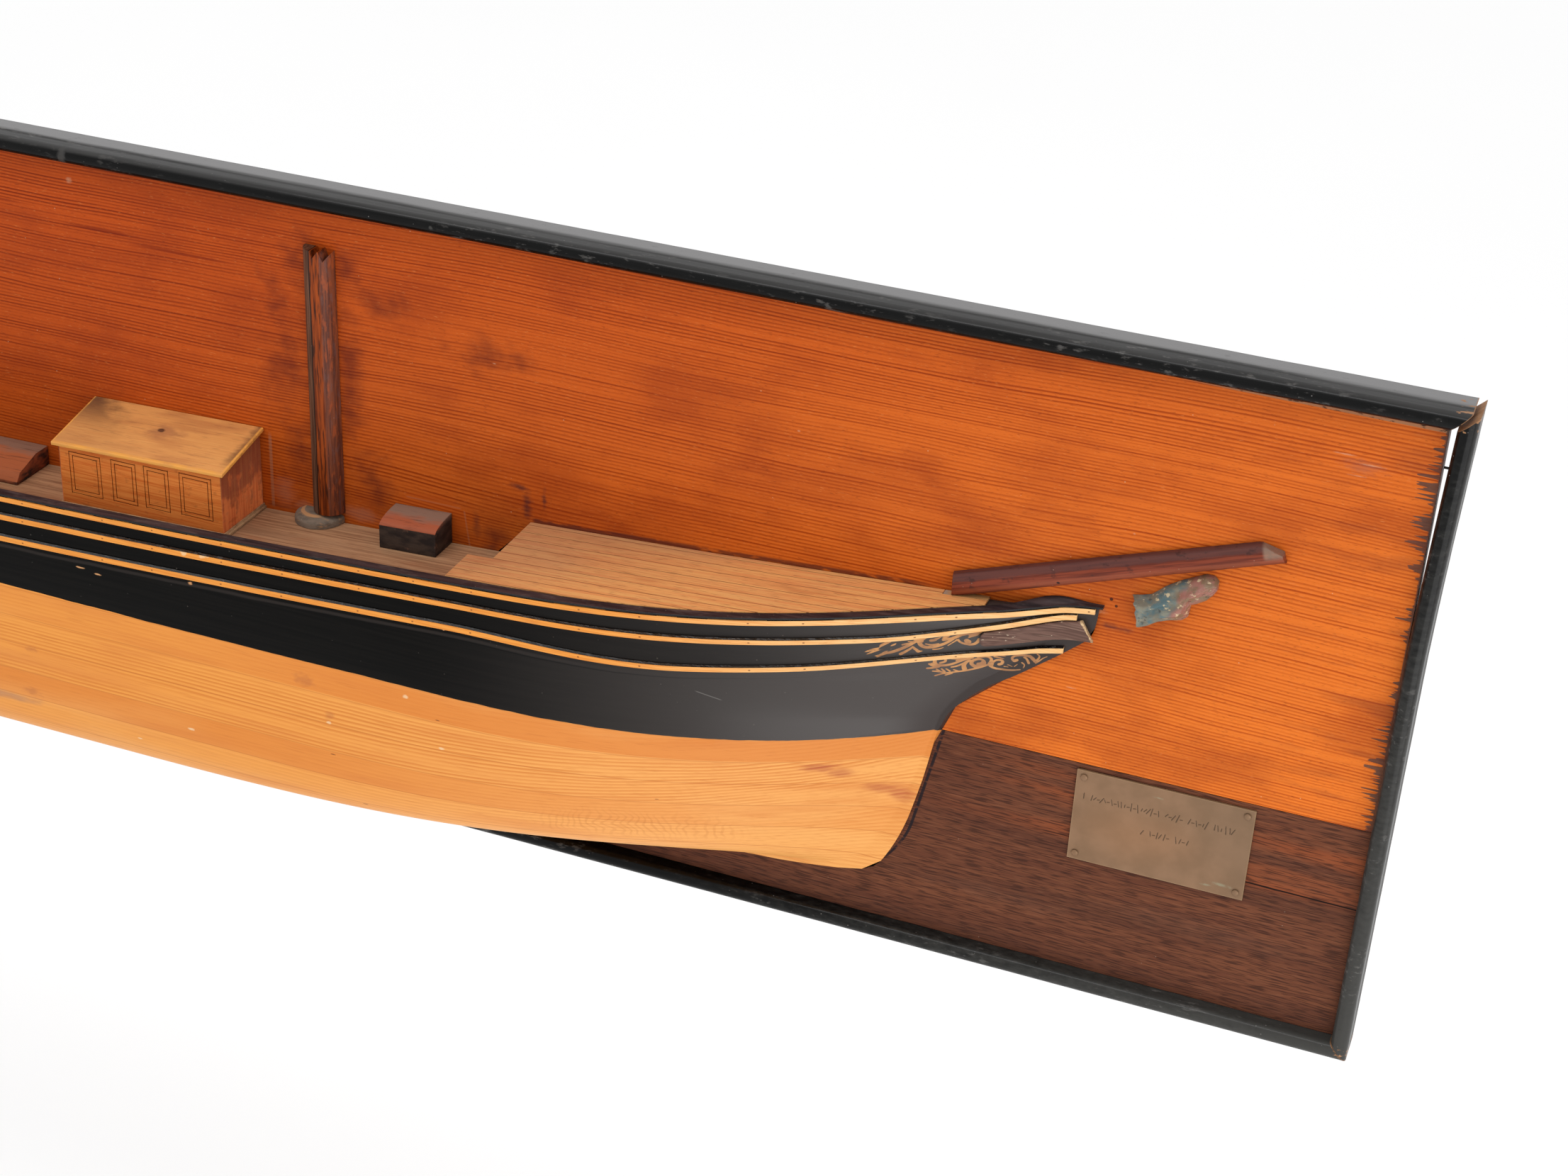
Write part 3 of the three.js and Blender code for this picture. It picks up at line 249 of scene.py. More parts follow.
def close_ends(bm, normal=(1, 0, 0)):
    """Fills each open end by itself and turns all faces outwards."""
    waiting = {e for e in bm.edges if e.is_boundary}
    while waiting:
        loop, front = [], [waiting.pop()]
        while front:
            edge = front.pop()
            loop.append(edge)
            near = {e for v in edge.verts for e in v.link_edges} & waiting
            waiting -= near
            front += near
        bmesh.ops.triangle_fill(bm, edges=loop, use_beauty=True, normal=normal)
    bmesh.ops.remove_doubles(bm, verts=bm.verts, dist=1e-4)
    bmesh.ops.recalc_face_normals(bm, faces=bm.faces)
    return bm


def round_edges(bm, width, limit, segments=2):
    sharp = [e for e in bm.edges if len(e.link_faces) == 2 and e.calc_face_angle(0) > math.radians(limit)]
    bmesh.ops.bevel(bm, geom=sharp, offset=width, segments=segments, profile=0.5, affect="EDGES",
                    material=-1, clamp_overlap=True)


def steps(a, b, n):
    return [lerp(a, b, i / n) for i in range(n + 1)]


def picked(values, step):
    """The value at a step that may lie between two."""
    i = min(int(step), len(values) - 2) if len(values) > 1 else 0
    return lerp(values[i], values[i + 1], step - i)


def piece(name, bm, nodes, finishes, crease=32, marks={}):
    """Marks are numbers at each corner that a finish reads, worked out from its place."""
    for mark, value in marks.items():
        layer = bm.verts.layers.float.new(mark)
        for v in bm.verts:
            v[layer] = value(v.co)
    for edge in bm.edges:
        edge.smooth = len(edge.link_faces) == 2 and edge.calc_face_angle(0) < math.radians(crease)
    for face in bm.faces:
        face.smooth = True
    bmesh.ops.scale(bm, vec=(MM, MM, MM), verts=bm.verts)
    mesh = bpy.data.meshes.new(name)
    bm.to_mesh(mesh)
    bm.free()
    made = bpy.data.objects.new(name, mesh)
    bpy.context.scene.collection.objects.link(made)
    for finish in finishes:
        mesh.materials.append(finish)
    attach(made, "root")
    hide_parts(*nodes)


def eased(node, width, segments, dull):
    """The node's own shape, its edges rounded over and its faces no longer dead flat."""
    bm = bmesh.new()
    bm.from_mesh(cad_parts[node].data)
    bmesh.ops.scale(bm, vec=(1 / MM, 1 / MM, 1 / MM), verts=bm.verts)
    bmesh.ops.remove_doubles(bm, verts=bm.verts, dist=0.002)
    bmesh.ops.dissolve_limit(bm, angle_limit=math.radians(1), verts=bm.verts, edges=bm.edges)
    round_edges(bm, width, 25, segments)
    bmesh.ops.triangulate(bm, faces=[f for f in bm.faces if len(f.verts) > 4])
    for v in bm.verts:
        v.co += Vector([hand(*v.co, 9, seed) for seed in (1, 2, 3)]) * dull
    return bm


# ---------------------------------------------------------------- hull

def hull_stations():
    """Shares of the length: crowded at the ends, closest at the bow, and doubled at each break of the decks."""
    bow = [1 - 0.3 * (i / 190) ** 1.55 for i in range(191)]
    stern = [0.3 * (i / 80) ** 1.55 for i in range(81)]
    middle = steps(0.3, 0.7, 50)[1:-1]

    def share(x):
        z = cap_under(x)
        return (x - stern_at(z)) / (stem_at(z) - stern_at(z))

    breaks = [share(x + d) for x in (POOP_BREAK, WING_BREAK, FORECASTLE_BREAK) for d in (-0.02, 0.02)]
    near = [s for s in bow + stern + middle if min(abs(s - b) for b in breaks) > 0.0004]
    return sorted(near + breaks)


# Rows of quads round a section: below the waterline, above it, and over the rail, down the well and back
LOWER, UPPER, INNER = 34, 40, 15


def hull_place(stations):
    angles = np.linspace(0, math.pi / 2, 400)
    heights = WATERLINE - DEPTH * np.sin(angles)
    breadths = np.array([midship_at(z) for z in heights])
    length = np.concatenate([[0], np.cumsum(np.hypot(np.diff(heights), np.diff(breadths)))])

    def level(share):
        return float(np.interp((1 - share) * length[-1], length, heights))

    def skin(u, row):
        """Outer side, from the keel up; u is a share of the length at that height."""
        if row <= LOWER:
            z = level(row / LOWER)
            x = lerp(stern_at(z), stem_at(z), u)
        else:
            x, z = upper_point(u, (row - LOWER) / UPPER)
        return x, half_breadth(x, z) + GAP, z

    def place(i, row):
        u = picked(stations, i)
        if row <= LOWER + UPPER:
            return at(*skin(u, row))
        x, z = upper_point(u, 1)
        row = round(row) - LOWER - UPPER
        outer = rail_breadth(x)
        well = POOP_BREAK < x < FORECASTLE_BREAK
        inner = outer - 4.2 if x < WING_BREAK else 42.0
        inner = max(GAP, min(inner, outer - 0.5)) if well else lerp(GAP, outer, 0.6)
        floor = deck_at(x) - 2.3 if well else z
        if row <= 1:
            return at(x, inner, z)
        if row <= 4:
            return at(x, inner, lerp(z, floor, (row - 1) / 3))
        if row <= 6:
            return at(x, lerp(inner, GAP, (row - 4) / 2), floor)
        z = lerp(floor, KEEL, (row - 6) / 8)
        return at(lerp(stern_at(z), stem_at(z), u), GAP, z)

    return place


def hull_mesh():
    stations = hull_stations()
    place = hull_place(stations)
    rows = LOWER + UPPER + INNER
    first = next(i for i, s in enumerate(stations) if upper_point(s, 0.6)[0] > 633)

    def rim(i, row):
        """The last row lies on the first, so that the sections close."""
        return place(i, 0 if row >= rows - 0.5 else row)

    def under_scrolls(i, row):
        return i >= first and LOWER + 16 <= row <= LOWER + UPPER - 8

    return close_ends(loft(len(stations) - 1, rows, rim, (under_scrolls, 5)))


# ---------------------------------------------------------------- rail, battens and mouldings

def head_crown(x):
    """The rail's top is crowned towards the wall just aft of the head."""
    return 3.2 * math.sin(math.pi * smooth(clamp01((x - HEAD + 58) / 58) ** 1.5))


def end_crowded(n):
    """Shares of a length, closer at its ends."""
    side = [0.3 * (i / n) ** 1.55 for i in range(n + 1)]
    return side + steps(0.3, 0.7, n)[1:-1] + [1 - s for s in reversed(side)]


def cap_rail_mesh():
    shares = end_crowded(110)
    ends = (stern_at(cap_under(STERN_FOOT)) - 2, stem_at(cap_under(HEAD)) + 2)
    rounding = 0.5
    nose_rows, top_rows, under_rows = 8, 5, 3
    rows = nose_rows + top_rows + under_rows
    nose = [(-rounding * math.cos(a), rounding * math.sin(a) - rounding)
            for a in steps(-math.pi / 2, math.pi / 2, nose_rows)]

    def place(i, row):
        x = lerp(*ends, picked(shares, i))
        row = round(row) % rows
        outer = rail_breadth(x) + 2 + 0.12 * hand(x, 0, 0, 30)
        inner = max(GAP, outer - 5.6)
        top = sheer_at(x)
        if row <= nose_rows:
            back, down = nose[row]
            return at(x, outer - rounding + abs(back), top + down)
        row -= nose_rows
        t = row / top_rows
        if row <= top_rows:
            off = lerp(outer - rounding, inner, t)
            lift = head_crown(x) * smooth(t)
            return at(x, off, top + lift + 0.05 * hand(x, off, 0, 4, 3) * math.sin(math.pi * t))
        return at(x, lerp(inner, outer - rounding, (row - top_rows) / under_rows), top - 1)

    return close_ends(loft(len(shares) - 1, rows, place))


BATTEN_HIGH = 2.7

# Drop below the sheer amidships, towards the bow and at the stem; where the last of these changes starts and
# how long it takes; how far the batten ends short of the head
BATTENS = {
    "upper_batten": (1.4, 1.4, 1.4, 30, 92, 1.5),
    "middle_batten": (10.9, 12.7, 5.1, 30, 92, 9.5),
    "lower_batten": (22.2, 28.9, 22.8, 64, 126, 14),
}


def batten_top(x, rule):
    drop, at_bow, at_stem, start, length, _ = rule
    bow = smooth((x - STEM_FOOT + 230) / 120)
    return sheer_at(x) - lerp(lerp(drop, at_bow, bow), at_stem, smooth((x - STEM_FOOT + start) / length))


def batten_mesh(rule):
    """Face and rounded lower edge first, then the ledge that is painted with the topsides."""
    shares = end_crowded(110)
    ends = (stern_at(sheer_at(STERN_FOOT) - rule[0] - BATTEN_HIGH) + 5.6, HEAD - rule[5])
    ring = [(0, 0), (0, 0.75), (0.09, 0.95), (0.35, 1), (1.0, 1), (1.8, 1), (2.45, 1), (2.62, 0.97),
            (BATTEN_HIGH, 0.86), (2.9, 0.6), (3.15, 0.3), (3.4, 0)]

    def place(i, row):
        x = lerp(*ends, picked(shares, i))
        rise, stand = ring[round(row) % len(ring)]
        top = batten_top(x, rule) + 0.06 * hand(x, 0, 0, 25, rule[0])
        z = min(top - BATTEN_HIGH + rise, cap_under(x))
        off = half_breadth(x, z) + 0.85 + 1.35 * stand
        return at(x, off, z)

    bm = close_ends(loft(len(shares) - 1, len(ring), place))
    for face in bm.faces:
        middle = face.calc_center_median()
        face.material_index = 1 if middle.z > batten_top(middle.x, rule) + 0.05 else 0
    return bm


def spring_out(z):
    """How far the bow end moulding has come away from the board."""
    return 3.4 * clamp01((z - 44.5) / 124) ** 1.3


def moulding_ring():
    """Depth from the wall and thickness out from the board's edge: flats eased at the back, half-round nose."""
    r = 4.25
    nose = [(18.75 + r * math.sin(a), r - r * math.cos(a)) for a in steps(0, math.pi, 22)]
    back = [(0.35, 8.5), (0, 8.15), (0, 4), (0, 0.25), (0.25, 0), (6, 0), (12, 0)]
    return back + nose + [(12, 8.5), (6, 8.5)]


def moulding_mesh(run, count, place_at, seed):
    ring = moulding_ring()

    def place(i, row):
        depth, out = ring[round(row) % len(ring)]
        share = i / count * 2 - 1
        along = share * (run / 2 + out + 0.1)
        worn = 0.10 * hand(along, depth, out, 26, seed) + 0.04 * hand(along, depth, out, 5, seed + 2)
        depth = min(depth + (worn - 0.12) * (depth > 14), 23)
        if out >= 8.3:
            out += min(0, worn - 0.1)
        return place_at(along, -depth, out + GAP)

    return close_ends(loft(count, len(ring), place))


# ---------------------------------------------------------------- deck fittings

def block_on_deck(ends, ring, seed, count, width=0.3, limit=40):
    """One section of offs and heights above the deck, drawn along a stretch of the deck."""

    def place(i, row):
        x = lerp(*ends, i / count)
        off, height = ring[round(row) % len(ring)]
        wobble = 0.08 * hand(x, off, height, 8, seed)
        if off > SEAT + 0.1:
            off = max(SEAT, off + wobble)
        return at(x, off, deck_at(x) + height + wobble * (height > 1))

    bm = close_ends(loft(count, len(ring), place))
    round_edges(bm, width, limit)
    bmesh.ops.recalc_face_normals(bm, faces=bm.faces)
    return bm


MAST_RADIUS = 8.4


def mast_mesh(centre, top, scale):
    """Half-round stub made of upright slices, so that its top can follow the broken notches."""
    notches = [(centre, 3.6), (centre + 5 * scale, 5.2)]
    keys = [x + d * s for x, d in notches for s in (0, 0.75, -0.35)]
    rim = [centre - MAST_RADIUS * scale * math.cos(a) for a in steps(0, math.pi, 40)]
    xs = sorted(rim + [k for k in keys if abs(k - centre) < 8.2 * scale])
    foot = deck_at(centre) + 6.5
    up, across = 26, 6

    def top_at(x):
        cuts = [top - d + (x - c) / (0.75 if x > c else -0.35) for c, d in notches]
        return min([top] + cuts)

    def place(i, row):
        x = xs[round(i)]
        row = round(row)
        share = clamp01(min(row, up) / up if row <= up + across else (2 * up + across - row) / up)
        radius = lerp(MAST_RADIUS, 8.0, share) * scale
        spread = (x - centre) / (MAST_RADIUS * scale)
        front = radius * math.sqrt(max(0, 1 - spread ** 2))
        depth = 1 if row <= up else max(0, 1 - (row - up) / across)
        worn = 0.12 * hand(x, 0, share * 90, 9, centre) * depth * (front > 1)
        z = lerp(foot, top_at(x), share)
        return at(centre + spread * radius, GAP + max(0, front * depth + worn), z)

    return close_ends(loft(len(xs) - 1, 2 * up + across, place), (0, 0, 1))


def coat_mesh(mast, scale):
    """Half disc round the mast's foot, its rim rounded over and its top rising to a seat."""
    centre = mast - 5.5 * scale
    ring = [(0, 0.3), (13.3, 0.3), (13.3, 2.6), (13.05, 3.3), (12.5, 3.75), (11.4, 4.3), (10.2, 5.0),
            (8.8, 5.8), (6, 5.8), (3, 5.8), (0, 5.8)]

    def place(i, row):
        a = math.pi * i / 48
        radius, height = ring[round(row)]
        worn = 0.012 * hand(math.cos(a) * 9, math.sin(a) * 9, height, 4, mast)
        radius *= scale * (1 + worn * (radius > 1))
        x = centre - radius * math.cos(a)
        return at(x, GAP + max(0, radius * math.sin(a)), deck_at(x) + height)

    return close_ends(loft(48, len(ring) - 1, place), (0, 1, 0))


def companion_mesh():
    roof = [(SEAT + 17.6 * math.cos(a), lerp(12.6, 16.6, math.sin(a))) for a in steps(0, math.pi / 2, 18)]
    ring = [(SEAT, 0.3), (9, 0.3), (18.2, 0.3), (18.2, 4), (18.2, 8), (18.2, 12)] + roof + [(SEAT, 8)]
    return block_on_deck((COMPANION - 15.5, COMPANION + 15.5), ring, 5, 18, 0.35)


def skylight_mesh():
    ring = [(SEAT, 0.3), (14, 0.3), (28.6, 0.3), (28.6, 1.9), (27, 4), (25.5, 6.1), (20.6, 7.7), (15.7, 9.3),
            (10.8, 10.9), (5.7, 10.9), (SEAT, 10.9), (SEAT, 5)]
    return block_on_deck(SKYLIGHT, ring, 6, 24, limit=15)


def main_hatch_mesh():
    ring = [(SEAT, 0.3), (11, 0.3), (22, 0.3), (22, 3), (22, 5.6), (20.6, 7), (14, 7), (7, 7), (SEAT, 7),
            (SEAT, 4)]
    return block_on_deck(MAIN_HATCH, ring, 8, 20, limit=30)


# ---------------------------------------------------------------- pieces on the board

# The bowsprit's rise forward, and the height of its axis over the stem's foot
STEEVE = math.radians(19.2)
HEEL_HEIGHT = sheer_at(STEM_FOOT) + 4.6


def bowsprit_mesh():
    """Half-round spar, its heel cut on the slant, its upper fore corner broken off."""
    length, radius, tip = 156, 6.4, 5.5
    count, rows = 90, 30

    def place(i, row):
        share = i / count
        a = math.pi * min(row, rows) / rows
        r = lerp(radius, tip, share)
        across, off = r * math.cos(a), r * math.sin(a)
        if row > rows:
            across, off = lerp(-r, r, (row - rows) / 4), 0
        heel = 1 - share
        along = length * share + heel * (across * math.tan(STEEVE) + off * 0.3)
        limit = tip - max(0, along - (length - 9)) * 6 / 9.3
        across = min(across, limit)
        off = max(0, off + 0.1 * hand(along, across, off, 14, 4) * (off > 0.5))
        x = STEM_FOOT + along * math.cos(STEEVE) - across * math.sin(STEEVE)
        z = HEEL_HEIGHT + along * math.sin(STEEVE) + across * math.cos(STEEVE)
        if x < 689:
            z = max(z, sheer_at(x) + 0.6)
        return at(x, GAP + off, z)

    return close_ends(loft(count, rows + 4, place))


def trail_mesh():
    """Board along the hull's side, its aft end rounded and its fore end broken."""
    start, length, corner = 683, 47, 3
    count = 60
    ring = [(0, 0), (0, 0.8), (0.05, 1), (0.25, 1), (0.5, 1), (0.75, 1), (0.95, 1), (1, 0.8), (1, 0)]
    ragged = [2.9, 2.1, 0.4, -0.6, -2.6]

    def place(i, row):
        u = i / count
        x = start + length * u
        round_off = max(0, 1 - length * u / corner)
        inset = corner * (1 - math.sqrt(1 - round_off ** 2))
        top = batten_top(x, BATTENS["middle_batten"]) - 3.3
        high, low = top - inset, top - lerp(8.6, 9.6, u) + inset
        t, stand = ring[round(row) % len(ring)]
        z = lerp(low, high, t)
        off = half_breadth(x, z) + 0.85 + 2.2 * stand
        broken = picked(ragged, min(3.999, t * 4)) + 0.9 * hand(0, t * 9, stand * 3, 0.7, 6)
        return at(x + broken * clamp01(u * 10 - 9), off + 0.06 * hand(x, z, 0, 3, 2), z)

    return close_ends(loft(count, len(ring), place))


# Upper and lower edge from the broken end forward: along from the stem's foot, and down from the spar's axis
FIGURE_EDGE = [((84.4, 15.4), (88.4, 31.3)), ((88.5, 15.8), (93, 30.8)), ((92.4, 15.8), (97.2, 29)),
               ((95.5, 14.1), (102, 28.9)), ((98.3, 12.3), (107.8, 29.9)), ((102, 11), (110.1, 28.5)),
               ((105.5, 9.9), (110.4, 24.6)), ((109.5, 9.2), (110.6, 22.5)), ((112.5, 8.6), (113.3, 22.3)),
               ((115.6, 8.1), (117.2, 21.2)), ((119.3, 9.5), (119.9, 18.8)), ((121.3, 12.2), (121.4, 16.3))]


def figure_mesh():
    """Draped fragment: folds fan from the broken end, and the upper end is a plain rounded mass."""
    edge = np.array(FIGURE_EDGE).reshape(-1, 4)
    at_edge = np.arange(len(edge))
    count, rows, back_rows = 72, 40, 4

    def place(i, row):
        share = i / count
        upper_x, upper_z, lower_x, lower_z = (float(np.interp(share * at_edge[-1], at_edge, edge[:, k]))
                                              for k in range(4))
        t = min(row, rows) / rows
        depth = lerp(9.5, 4.5, share ** 3)
        fold = 0.9 * math.sin(math.pi * (3 * t + 2 * share)) * math.sin(math.pi * t)
        drape = 0.55 * math.sin(18 * t - 9 * share + 2 * hand(share * 4, t * 3, 0, 1, 3))
        drape *= smooth((0.75 - share) * 5)
        rough = 0.5 * hand(share * 30, t * 20, 0, 3, 8) + 0.25 * hand(share * 30, t * 20, 0, 1, 9)
        swell = max(0, math.sin(math.pi * t)) ** 0.55
        relief = (depth + fold + drape + rough) * swell
        x, drop = lerp(upper_x, lower_x, t), lerp(upper_z, lower_z, t)
        broken = 1.1 * hand(t * 9, relief, 0, 2.2, 5) * clamp01(1 - share * 12)
        if row > rows:
            relief, t = 0, (row - rows) / back_rows
            x, drop = lerp(lower_x, upper_x, t), lerp(lower_z, upper_z, t)
        axis = HEEL_HEIGHT + x * math.tan(STEEVE)
        return at(STEM_FOOT + x + 0.2 * relief * (1 - share) + broken, GAP + max(0, relief), axis - drop)

    return close_ends(loft(count, rows + back_rows, place))


def rudder_mesh():
    ring = [(0, 0), (1, 0), (1, 0.7), (0.97, 1), (0.7, 1), (0.35, 1), (0.04, 0.85), (0, 0.5)]
    count = 40

    def place(i, row):
        share = i / count
        z = lerp(KEEL + 1, WATERLINE - 5, share)
        fore = stern_at(z) - 1
        aft = fore - lerp(24, 12, share)
        t, stand = ring[round(row) % len(ring)]
        return at(lerp(aft, fore, t), GAP + 3.1 * stand, z)

    return close_ends(loft(count, len(ring), place), (0, 0, 1))


PLATE_LEFT, PLATE_LOW = 733.0, -96.8
PLATE_WIDE, PLATE_HIGH = 85, 50
PINS = [(736.6, -50.4), (814.4, -50.4), (736.6, -93.2), (814.4, -93.2)]


def plate_mesh():
    """A flat sheet with a quad to each millimetre, finer where the strokes are cut."""
    bm = bmesh.new()
    bmesh.ops.create_grid(bm, x_segments=PLATE_WIDE, y_segments=PLATE_HIGH, size=0.5)
    for v in bm.verts:
        v.co = (PLATE_LEFT + PLATE_WIDE * (v.co.x + 0.5), PLATE_LOW + PLATE_HIGH * (v.co.y + 0.5), 0)

    def lettered(v):
        return 736 < v.co.x < 812 and -64 < v.co.y < -57.5 or 765 < v.co.x < 792 and -76 < v.co.y < -70

    edges = [e for e in bm.edges if all(lettered(v) for v in e.verts)]
    bmesh.ops.subdivide_edges(bm, edges=edges, cuts=4, use_grid_fill=True)
    for v in bm.verts:
        v.co = at(v.co.x, GAP + 1 - 0.2 * plate_cut(v.co.x, v.co.y), v.co.y)
    back = bmesh.ops.extrude_face_region(bm, geom=bm.faces[:])
    for g in back["geom"]:
        if isinstance(g, bmesh.types.BMVert):
            g.co.y = FACE - GAP
    bmesh.ops.recalc_face_normals(bm, faces=bm.faces)
    return bm


def pin_mesh(x, z):
    """A low domed head, spun from half its section."""
    bm = bmesh.new()
    radius, shoulder, dome = 1.7, 1.85, 0.55
    profile = [(radius, 1.6), (radius, shoulder)] + [(radius * math.cos(a), shoulder + dome * math.sin(a))
                                                     for a in steps(0, math.pi / 2, 6)[1:]]
    points = [bm.verts.new(at(x + r, off, z)) for r, off in profile]
    edges = [bm.edges.new(pair) for pair in zip(points, points[1:])]
    bmesh.ops.spin(bm, geom=points + edges, cent=at(x, 0, z), axis=(0, 1, 0), angle=2 * math.pi, steps=20,
                   use_merge=True)
    bmesh.ops.remove_doubles(bm, verts=bm.verts, dist=1e-3)
    return close_ends(bm, (0, 1, 0))


# ---------------------------------------------------------------- painted scrolls and the plate's strokes

# Brush strokes on the topsides near the stem. Each has the half widths at its ends in hundredths of a
# millimetre, its first place along and up in tenths, and the steps from each place to the next.
SCROLL_STROKES = [
    (53, 90, 6445, 94, 9, 12, 9, 17, -4, 13, -13, 3, -18, -9, -14, -21, -5, -23, 8, -16, 21, -2, 29, 11, 28,
     17, 25, 17, 24, 21, 17, 14, 11, 10),
    (32, 137, 6400, 91, -14, 0, -18, -7, -10, -10),
    (26, 36, 6390, 126, 5, -20),
    (21, 31, 6399, 129, 3, -24),
    (85, 48, 6387, 45, 18, 9, 21, 10, 14, 4),
    (42, 63, 6498, 119, 18, 6, 17, -4),
    (31, 46, 6523, 139, 24, 0),
    (75, 43, 6488, 59, 20, 15, 21, 19, 11, 11),
    (37, 85, 6541, 108, 10, -15, 12, -16),
    (69, 21, 6550, 93, 13, -15, 16, 1),
    (26, 62, 6532, 153, 26, 10, 28, 13),
    (104, 52, 6575, 166, -5, -23, 4, -23, 18, -15, 26, 0, 28, 8, 28, 15, 24, 18, 21, 21, 14, 14, 18, 8),
    (36, 26, 6583, 139, 4, 16, 12, 14, 17, 5, 17, -2, 11, -9),
    (47, 84, 6644, 164, -7, -12, -18, -4),
    (37, 37, 6596, 126, 19, -6, 17, 2, 17, 5),
    (63, 37, 6669, 166, 16, 6, 14, 7),
    (73, 31, 6671, 153, 20, 3, 19, 10),
    (26, 47, 6718, 181, 18, 2, 18, 7),
    (21, 48, 6689, 116, 19, 18, 18, 17, 17, 23, 15, 15),
    (43, 16, 6626, 90, 23, 3, 21, 10),
    (52, 52, 6731, 158, 9, -17, 17, -11, 23, -6),
    (63, 105, 6780, 124, 23, 6, 16, 20, 6, 25, -6, 21, -17, 8, -20, -5, -13, -5),
    (37, 63, 6768, 175, 14, 12, 15, -2, 9, -11),
    (114, 125, 6769, 149, 7, -7),
    (45, 20, 6827, 200, 18, 17),
    (60, 48, 6655, 1, 18, 8, 5, 10, -3, 3),
    (83, 47, 6631, 18, 1, -18, 12, -14, 30, -1, 31, 10, 27, 15, 27, 15, 34, 13),
    (55, 49, 6598, -35, 24, 3, 25, 7),
    (48, 54, 6607, -6, 13, -12, 17, -6),
    (42, 42, 6617, -3, 11, -13),
    (48, 48, 6702, 30, 26, -1, 28, 2),
    (48, 30, 6724, 18, 35, 12, 28, 13),
    (49, 43, 6701, -26, 23, 7, 27, 18, 24, 18),
    (40, 54, 6628, -87, 36, 16, 47, 11, 47, 11, 39, 14, 32, 14, 24, 15),
    (44, 50, 6621, -54, 21, -3, 23, -6),
    (37, 43, 6637, -41, 15, -16),
    (37, 43, 6658, -38, 14, -20),
    (37, 43, 6678, -38, 15, -16),
    (37, 43, 6710, -44, 17, -9),
    (33, 47, 6672, -83, 28, 14),
    (111, 55, 6756, -36, -2, 23, 10, 20, 16, 14),
    (97, 48, 6805, -20, -14, 11, -4, 16, 12, 17, 23, 7, 18, -9, 6, -15),
    (53, 53, 6846, 7, -6, -12, -15, -9, -20, -6),
    (96, 60, 6818, -2, 11, 2, 5, 12),
    (36, 78, 6814, 43, 18, 2, 22, 4, 18, -10, 1, -17, -7, -17),
    (83, 24, 6866, 5, 5, -18, 22, -12, 36, -2, 43, 8, 35, 12),
    (76, 41, 6907, 3, 13, 7, 3, 15, -13, 7, -17, -4, -12, -15, -3, -19),
    (41, 18, 6887, 51, 21, -4, 21, -6),
    (35, 18, 6908, 60, 29, -2),
    (56, 62, 6973, 32, -8, 12, 4, 15, 21, 11, 30, 4, 26, -2, 15, -12),
    (85, 68, 6976, 34, 11, 6),
    (36, 66, 7017, 62, 14, -5, 12, -19),
    (33, 57, 7045, 79, 20, -12, 4, -14),
    (28, 52, 7078, 94, 12, -7, -4, -16, -15, -19),
    (14, 38, 7127, 94, -19, -14, -17, -19, -16, -15),
    (38, 24, 7011, 31, 13, -8, -4, -18),
    (23, 17, 6929, -8, 20, 0),
    (23, 17, 6945, 5, 22, -6),
    (19, 10, 6977, 2, 14, 16),
]


CLEAR = 0.7


def rounded_path(points):
    """A smooth path through the points, in three stretches from each to the next."""
    between = 3
    ends = [points[0]] + points + [points[-1]]
    path = []
    for a, b, c, d in zip(ends, ends[1:], ends[2:], ends[3:]):
        for k in range(between):
            t = k / between
            path.append(tuple(0.5 * (2 * q + (r - p) * t + (2 * p - 5 * q + 4 * r - s) * t * t
                                     + (3 * q - p - 3 * r + s) * t ** 3) for p, q, r, s in zip(a, b, c, d)))
    return path + [points[-1]]


def scroll_strokes():
    """Half widths and points of each stroke in millimetres."""
    for start, end, *moves in SCROLL_STROKES:
        along, up = ([n / 10 for n in accumulate(moves[k::2])] for k in (0, 1))
        yield start / 100, end / 100, list(zip(along, up))


def stroke_segments(strokes):
    """Straight pieces of every stroke with their half widths, and the box that each one can reach."""
    found = []
    for start, end, points in strokes:
        path = rounded_path(points)
        widths = steps(start, end, len(path) - 1)
        for (ax, az), (bx, bz), wa, wb in zip(path, path[1:], widths, widths[1:]):
            reach = max(wa, wb) + CLEAR
            found.append((ax, az, bx - ax, bz - az, wa, wb, min(ax, bx) - reach, max(ax, bx) + reach,
                          min(az, bz) - reach, max(az, bz) + reach))
    return found


def stroke_distance(x, z, segments):
    """Millimetres from the edge of the nearest stroke, less than 0 inside it and never more than CLEAR."""
    best = CLEAR
    for ax, az, dx, dz, wa, wb, low_x, high_x, low_z, high_z in segments:
        if low_x < x < high_x and low_z < z < high_z:
            t = clamp01(((x - ax) * dx + (z - az) * dz) / max(dx * dx + dz * dz, 1e-9))
            best = min(best, math.hypot(x - ax - t * dx, z - az - t * dz) - lerp(wa, wb, t))
    return best


scroll_segments = stroke_segments(scroll_strokes())


def scroll_reach(p):
    """Distance from the painted strokes, which lie on the outer side only."""
    if not (632 < p.x < 716 and -12 < p.z < 24) or FACE - p.y < 1.5:
        return CLEAR
    return stroke_distance(p.x, p.z, scroll_segments)


